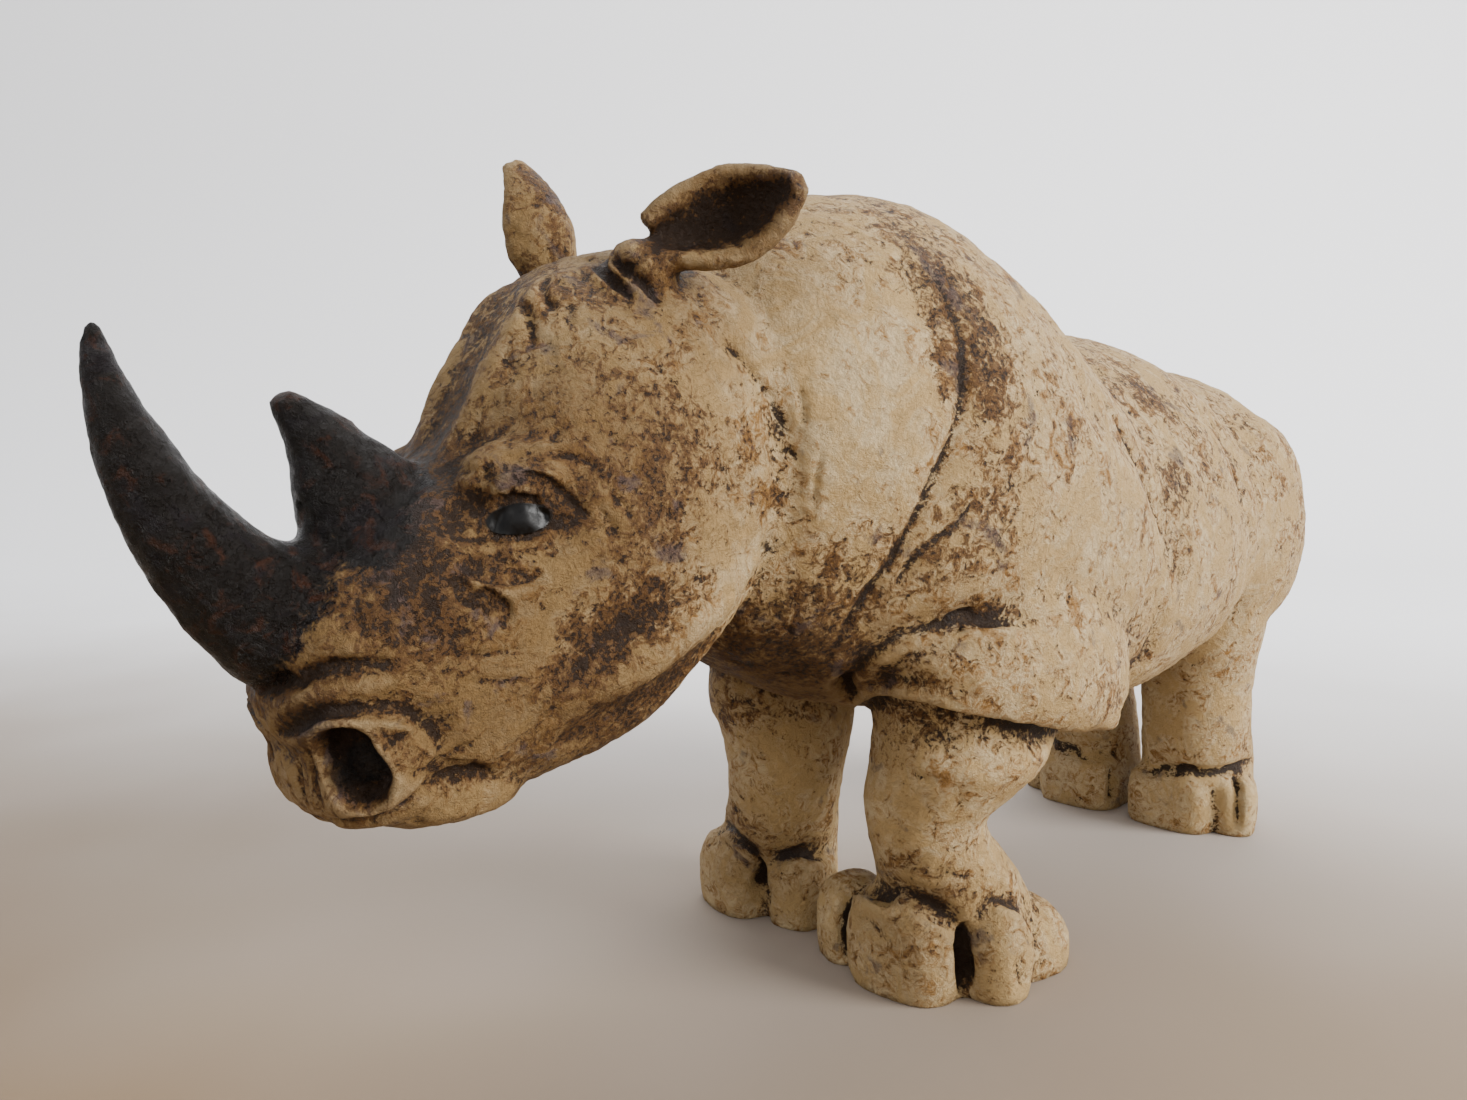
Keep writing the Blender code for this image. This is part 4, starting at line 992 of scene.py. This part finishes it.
class Nodes:
    """Short names for the shader nodes of one material."""

    def __init__(self, name):
        self.material = bpy.data.materials.new(name)
        self.material.use_nodes = True
        self.tree = self.material.node_tree
        self.shader = self.tree.nodes['Principled BSDF']
        self.place = self.tree.nodes.new('ShaderNodeTexCoord').outputs['Object']

    def put(self, value, socket):
        if isinstance(value, bpy.types.NodeSocket):
            self.tree.links.new(value, socket)
        else:
            socket.default_value = value

    def math(self, kind, a, b=0.0):
        node = self.tree.nodes.new('ShaderNodeMath')
        node.operation = kind
        self.put(a, node.inputs[0])
        self.put(b, node.inputs[1])
        return node.outputs[0]

    def sum(self, *parts):
        """Parts are pairs of a socket and its weight, or plain numbers."""
        total = 0.0
        for part in parts:
            term = self.math('MULTIPLY', part[0], part[1]) if isinstance(part, tuple) else part
            total = self.math('ADD', total, term)
        return total

    def noise(self, size, detail, roughness, distortion=0.0, shift=0.0):
        """Noise whose features are size across, in metres."""
        node = self.tree.nodes.new('ShaderNodeTexNoise')
        node.inputs['Scale'].default_value = 1 / size
        node.inputs['Detail'].default_value = detail
        node.inputs['Roughness'].default_value = roughness
        node.inputs['Distortion'].default_value = distortion
        vector = self.tree.nodes.new('ShaderNodeVectorMath')
        vector.operation = 'ADD'
        self.put(self.place, vector.inputs[0])
        vector.inputs[1].default_value = (shift, shift * SHIFT_SHARE, -shift)
        self.put(vector.outputs[0], node.inputs['Vector'])
        return node.outputs['Fac']

    def spread(self, size, detail, roughness, distortion, shift):
        """Noise about none, most of it within one either way."""
        value = self.noise(size, detail, roughness, distortion, shift)
        return self.math('MULTIPLY', self.math('SUBTRACT', value, NOISE_MIDDLE), 1 / NOISE_SPREAD)

    def step(self, value, low, high):
        """A soft step from none at low to full at high."""
        node = self.tree.nodes.new('ShaderNodeMapRange')
        node.interpolation_type = 'SMOOTHSTEP'
        self.put(value, node.inputs['Value'])
        self.put(low, node.inputs['From Min'])
        self.put(high, node.inputs['From Max'])
        return node.outputs['Result']

    def line(self, value, width):
        """Full where the value passes its middle, none beyond width: thin wandering lines."""
        off = self.math('ABSOLUTE', self.math('SUBTRACT', value, NOISE_MIDDLE))
        return self.math('SUBTRACT', 1.0, self.step(off, 0.0, width))

    def mix(self, amount, a, b):
        node = self.tree.nodes.new('ShaderNodeMix')
        node.data_type = 'RGBA'
        self.put(amount, node.inputs['Factor'])
        self.put(a, node.inputs[6])
        self.put(b, node.inputs[7])
        return node.outputs[2]

    def note(self, name):
        """A mark that was noted at the figure's points."""
        node = self.tree.nodes.new('ShaderNodeAttribute')
        node.attribute_name = name
        return node.outputs['Fac']

    def bump(self, height, depth, strength):
        node = self.tree.nodes.new('ShaderNodeBump')
        node.inputs['Distance'].default_value = depth
        node.inputs['Strength'].default_value = strength
        self.put(height, node.inputs['Height'])
        self.put(node.outputs['Normal'], self.shader.inputs['Normal'])


def srgb(red, green, blue):
    """A colour as seen on a screen, 0 to 255, in the light values of a shader."""
    return tuple(((v / 255 + 0.055) / 1.055) ** 2.4 if v > 10 else v / 255 / 12.92
                 for v in (red, green, blue)) + (1.0,)


PALE_CLAY = srgb(184, 163, 126)
BUFF_CLAY = srgb(165, 137, 92)
WARM_CLAY = srgb(132, 95, 48)
BROWN_WASH = srgb(68, 42, 18)
DARK_WASH = srgb(27, 16, 8)
# The film's dull brown: a real wash film on the ears, and painted shade on the head, chest and foreleg
# fronts.
FILM_AND_SHADE = srgb(94, 69, 36)
SMOKE = srgb(62, 56, 62)
GLAZE = srgb(13, 8, 5)
GLAZE_WARM = srgb(58, 30, 14)
GLAZE_COOL = srgb(17, 12, 14)
EYE_BLACK = srgb(5, 4, 4)

# Noises of the clay: the size of their features in metres, detail, roughness, distortion and shift.
NOISES = {
    'broad': (0.034, 3, 0.55, 0.4, 0.0), 'patch': (0.011, 5, 0.62, 1.0, 0.3),
    'mottle': (0.0031, 8, 0.72, 1.2, 0.7), 'speck': (0.0010, 4, 0.62, 0.4, 1.1),
    'grain': (0.0004, 2, 0.6, 0.0, 1.7), 'cloud': (0.009, 4, 0.6, 0.4, 3.1),
    'tint': (0.008, 5, 0.65, 0.6, 4.1), 'flake': (0.0050, 6, 0.7, 0.8, 5.3),
}
# The noise that is read as thin wandering lines, and their width.
WORM_NOISE = (0.0026, 3, 0.55, 1.6, 2.3)
WORM_WIDTH = 0.022
# Each layer in turn: its start, what adds to it with which weight, and from where to where a soft step
# takes it from none to full, if it has one.
LAYERS = {
    'zone': (0.0, {'wash': 1.35, 'film_and_shade': 0.45, 'broad': 0.15, 'patch': 0.26, 'ear': 2.6, 'glaze': 1.3,
                   'hollow': 0.9, 'crest': -0.4}, None),
    'brown': (-0.75, {'mottle': 0.9, 'speck': 0.5, 'zone': 1.15, 'nick': 0.9, 'crease': 0.8}, (-0.5, 1.1)),
    'dark': (-2.0, {'speck': 1.05, 'mottle': 0.6, 'zone': 0.95, 'nick': 1.5, 'crease': 0.9, 'worm': 1.2},
             (-0.2, 1.0)),
    'groove': (0.0, {'crease': 1.0, 'nick': 0.6, 'mottle': 0.20, 'speck': 0.14}, (0.72, 1.25)),
    'pale': (0.0, {'patch': 1.0}, (-1.2, 1.2)),
    'warm': (0.0, {'mottle': 0.7, 'patch': 0.5, 'zone': 0.5}, (-0.6, 1.6)),
    'ridge': (0.0, {'crest': 1.0}, (0.2, 0.9)),
    'smoke': (0.0, {'cloud': 1.0, 'zone': 0.3}, (1.2, 2.2)),
    'coat': (-2.2, {'glaze': 5.0, 'mottle': 0.35, 'speck': 0.25}, (-0.6, 0.5)),
    'cool': (0.0, {'tint': 1.0}, (-0.2, 1.4)),
    'rust': (0.0, {'flake': 1.0}, (0.2, 1.7)),
    # The nostril's hollow painted near black: painted shade.
    'nostril_shade': (0.0, {'pit': 1.0}, (0.25, 0.75)),
    'ball': (0.0, {'eyeball': 1.0}, (0.35, 0.6)),
    'roughness': (0.72, {'brown': -0.10, 'dark': -0.12, 'grain': 0.02, 'coat': -0.30, 'ball': -0.16,
                         'nostril_shade': -0.1}, None),
    'shine': (0.22, {'coat': -0.04, 'ball': -0.02}, None),
    'relief': (0.0, {'mottle': 0.10, 'speck': 0.07, 'grain': 0.02, 'dark': -0.30, 'worm': -0.25}, None),
}
# Colours laid over each other in turn: the layer, its strength and the colour.
CLAY_TONES = [
    # The film's tone is partly real wash and partly painted shade over the head, chest and foreleg fronts.
    ('pale', 1.0, PALE_CLAY), ('warm', 1.0, WARM_CLAY), ('film_and_shade', 0.84, FILM_AND_SHADE), ('ridge', 0.25, PALE_CLAY),
    ('brown', 0.78, BROWN_WASH), ('smoke', 0.5, SMOKE), ('stain', 0.88, DARK_WASH),
]
COAT_TONES = [('cool', 1.0, GLAZE_COOL), ('rust', 0.6, GLAZE_WARM)]
# The eyeball's black glaze, and painted shade in the nostril's hollow.
BLACK_TONES = [('nostril_shade', 0.9, EYE_BLACK), ('ball', 1.0, EYE_BLACK)]
LEAST_ROUGHNESS = 0.12
RELIEF_DEPTH = 0.0010
RELIEF_STRENGTH = 0.8


def coloured(n, marks, tone, tones):
    """A tone with further colours laid over it."""
    for name, strength, colour in tones:
        tone = n.mix(n.math('MULTIPLY', marks[name], strength), tone, colour)
    return tone


def stoneware():
    """Buff stoneware with an oxide wash rubbed into its recesses, a film of wash that also lays painted
    shade over the head, chest and foreleg fronts, painted shade in the nostril hollows, and dark glaze on
    horns and eyes.
    """
    n = Nodes('stoneware')
    marks = {name: n.note(name) for name in
             ('wash', 'film_and_shade', 'glaze', 'nick', 'crease', 'valley', 'eyeball', 'ear', 'pit')}
    marks.update((name, n.spread(*noise)) for name, noise in NOISES.items())
    marks['worm'] = n.line(n.noise(*WORM_NOISE), WORM_WIDTH)
    marks['hollow'] = n.math('MAXIMUM', marks['valley'], 0.0)
    marks['crest'] = n.math('MAXIMUM', n.math('MULTIPLY', marks['crease'], -1.0), 0.0)
    for name, (start, weights, span) in LAYERS.items():
        total = n.sum(start, *((marks[part], weight) for part, weight in weights.items()))
        marks[name] = n.step(total, *span) if span else total
    marks['stain'] = n.math('MAXIMUM', marks['dark'], marks['groove'])
    clay = coloured(n, marks, BUFF_CLAY, CLAY_TONES)
    coat = coloured(n, marks, GLAZE, COAT_TONES)
    tone = coloured(n, marks, n.mix(marks['coat'], clay, coat), BLACK_TONES)
    n.put(tone, n.shader.inputs['Base Color'])
    n.put(n.math('MAXIMUM', marks['roughness'], LEAST_ROUGHNESS), n.shader.inputs['Roughness'])
    n.put(marks['shine'], n.shader.inputs['Specular IOR Level'])
    skin_only = n.math('SUBTRACT', 1.0, marks['ball'])
    n.bump(n.math('MULTIPLY', skin_only, marks['relief']), RELIEF_DEPTH, RELIEF_STRENGTH)
    return n.material


# The sweep's tones, from in front of the figure to far behind it, where they change, how much sooner to the
# right, and how uneven the change is. The darker front is partly the floor's own warm tone and partly
# painted shade, and the sooner change to the right is painted light from the window side.
FLOOR_TONE_AND_SHADE = srgb(113, 88, 52)
WALL_TONE = srgb(246, 246, 248)
TONE_NEAR = -0.25
TONE_FAR = 0.65
PAINTED_LIGHT_SLANT = 0.35
TONE_NOISE = (0.35, 3, 0.5, 0.0, 0.0)
TONE_UNEVEN = 0.03
PAPER_ROUGHNESS = 0.9
PAPER_GRAIN = 0.004
PAPER_DEPTH = 0.0004
PAPER_STRENGTH = 0.12


def backdrop_material():
    """A plain matt paper sweep, warm in front and paler behind: partly its own tones, with painted shade in
    front and painted light towards the right.
    """
    n = Nodes('backdrop')
    split = n.tree.nodes.new('ShaderNodeSeparateXYZ')
    n.put(n.place, split.inputs[0])
    yaw = math.radians(CAMERA_YAW)
    # How far behind, slanted so that the right side turns pale sooner: painted light.
    behind = n.sum((split.outputs[0], PAINTED_LIGHT_SLANT * math.cos(yaw) - math.sin(yaw)),
                   (split.outputs[1], PAINTED_LIGHT_SLANT * math.sin(yaw) + math.cos(yaw)), (split.outputs[2], 1.0),
                   (n.spread(*TONE_NOISE), TONE_UNEVEN))
    n.put(n.mix(n.step(behind, TONE_NEAR, TONE_FAR), FLOOR_TONE_AND_SHADE, WALL_TONE), n.shader.inputs['Base Color'])
    n.shader.inputs['Roughness'].default_value = PAPER_ROUGHNESS
    n.bump(n.noise(PAPER_GRAIN, 2, 0.5), PAPER_DEPTH, PAPER_STRENGTH)
    return n.material


# The sweep: how far it runs out flat from the figure, the radius of its bend, its half width, how far
# it comes forward, its height, the steps of its bend and how far it lies below the soles.
SWEEP_RUN = 0.75
SWEEP_BEND = 0.6
SWEEP_WIDTH = 3.2
SWEEP_FRONT = 1.2
SWEEP_TOP = 2.0
SWEEP_STEPS = 24
SWEEP_DROP = 0.0002


def sweep():
    """Pale paper that runs flat under the figure and bends up behind it, square to the camera."""
    profile = [(-SWEEP_FRONT, 0.0), (SWEEP_RUN, 0.0)]
    for k in range(1, SWEEP_STEPS + 1):
        a = math.pi / 2 * k / SWEEP_STEPS
        profile.append((SWEEP_RUN + SWEEP_BEND * math.sin(a), SWEEP_BEND * (1 - math.cos(a))))
    profile.append((SWEEP_RUN + SWEEP_BEND, SWEEP_TOP))
    bm = bmesh.new()
    yaw = math.radians(CAMERA_YAW)
    away = Vector((-math.sin(yaw), math.cos(yaw), 0))
    side = Vector((math.cos(yaw), math.sin(yaw), 0))
    rows = [[bm.verts.new(away * d + side * w + Vector((0, 0, h - SWEEP_DROP)))
             for w in (-SWEEP_WIDTH, SWEEP_WIDTH)] for d, h in profile]
    for a, b in zip(rows, rows[1:]):
        bm.faces.new((a[0], a[1], b[1], b[0]))
    ob = link('sweep', bm)
    ob.data.shade_smooth()
    ob.data.materials.append(backdrop_material())
    return ob


body = sculpt()
middle = to_world(body)
body.data.shade_smooth()
body.name = 'rhinoceros_figure'
body.data.materials.clear()
body.data.materials.append(stoneware())
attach(body, 'root')
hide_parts('rhinoceros')
floor = sweep()
camera(middle)
light_up()
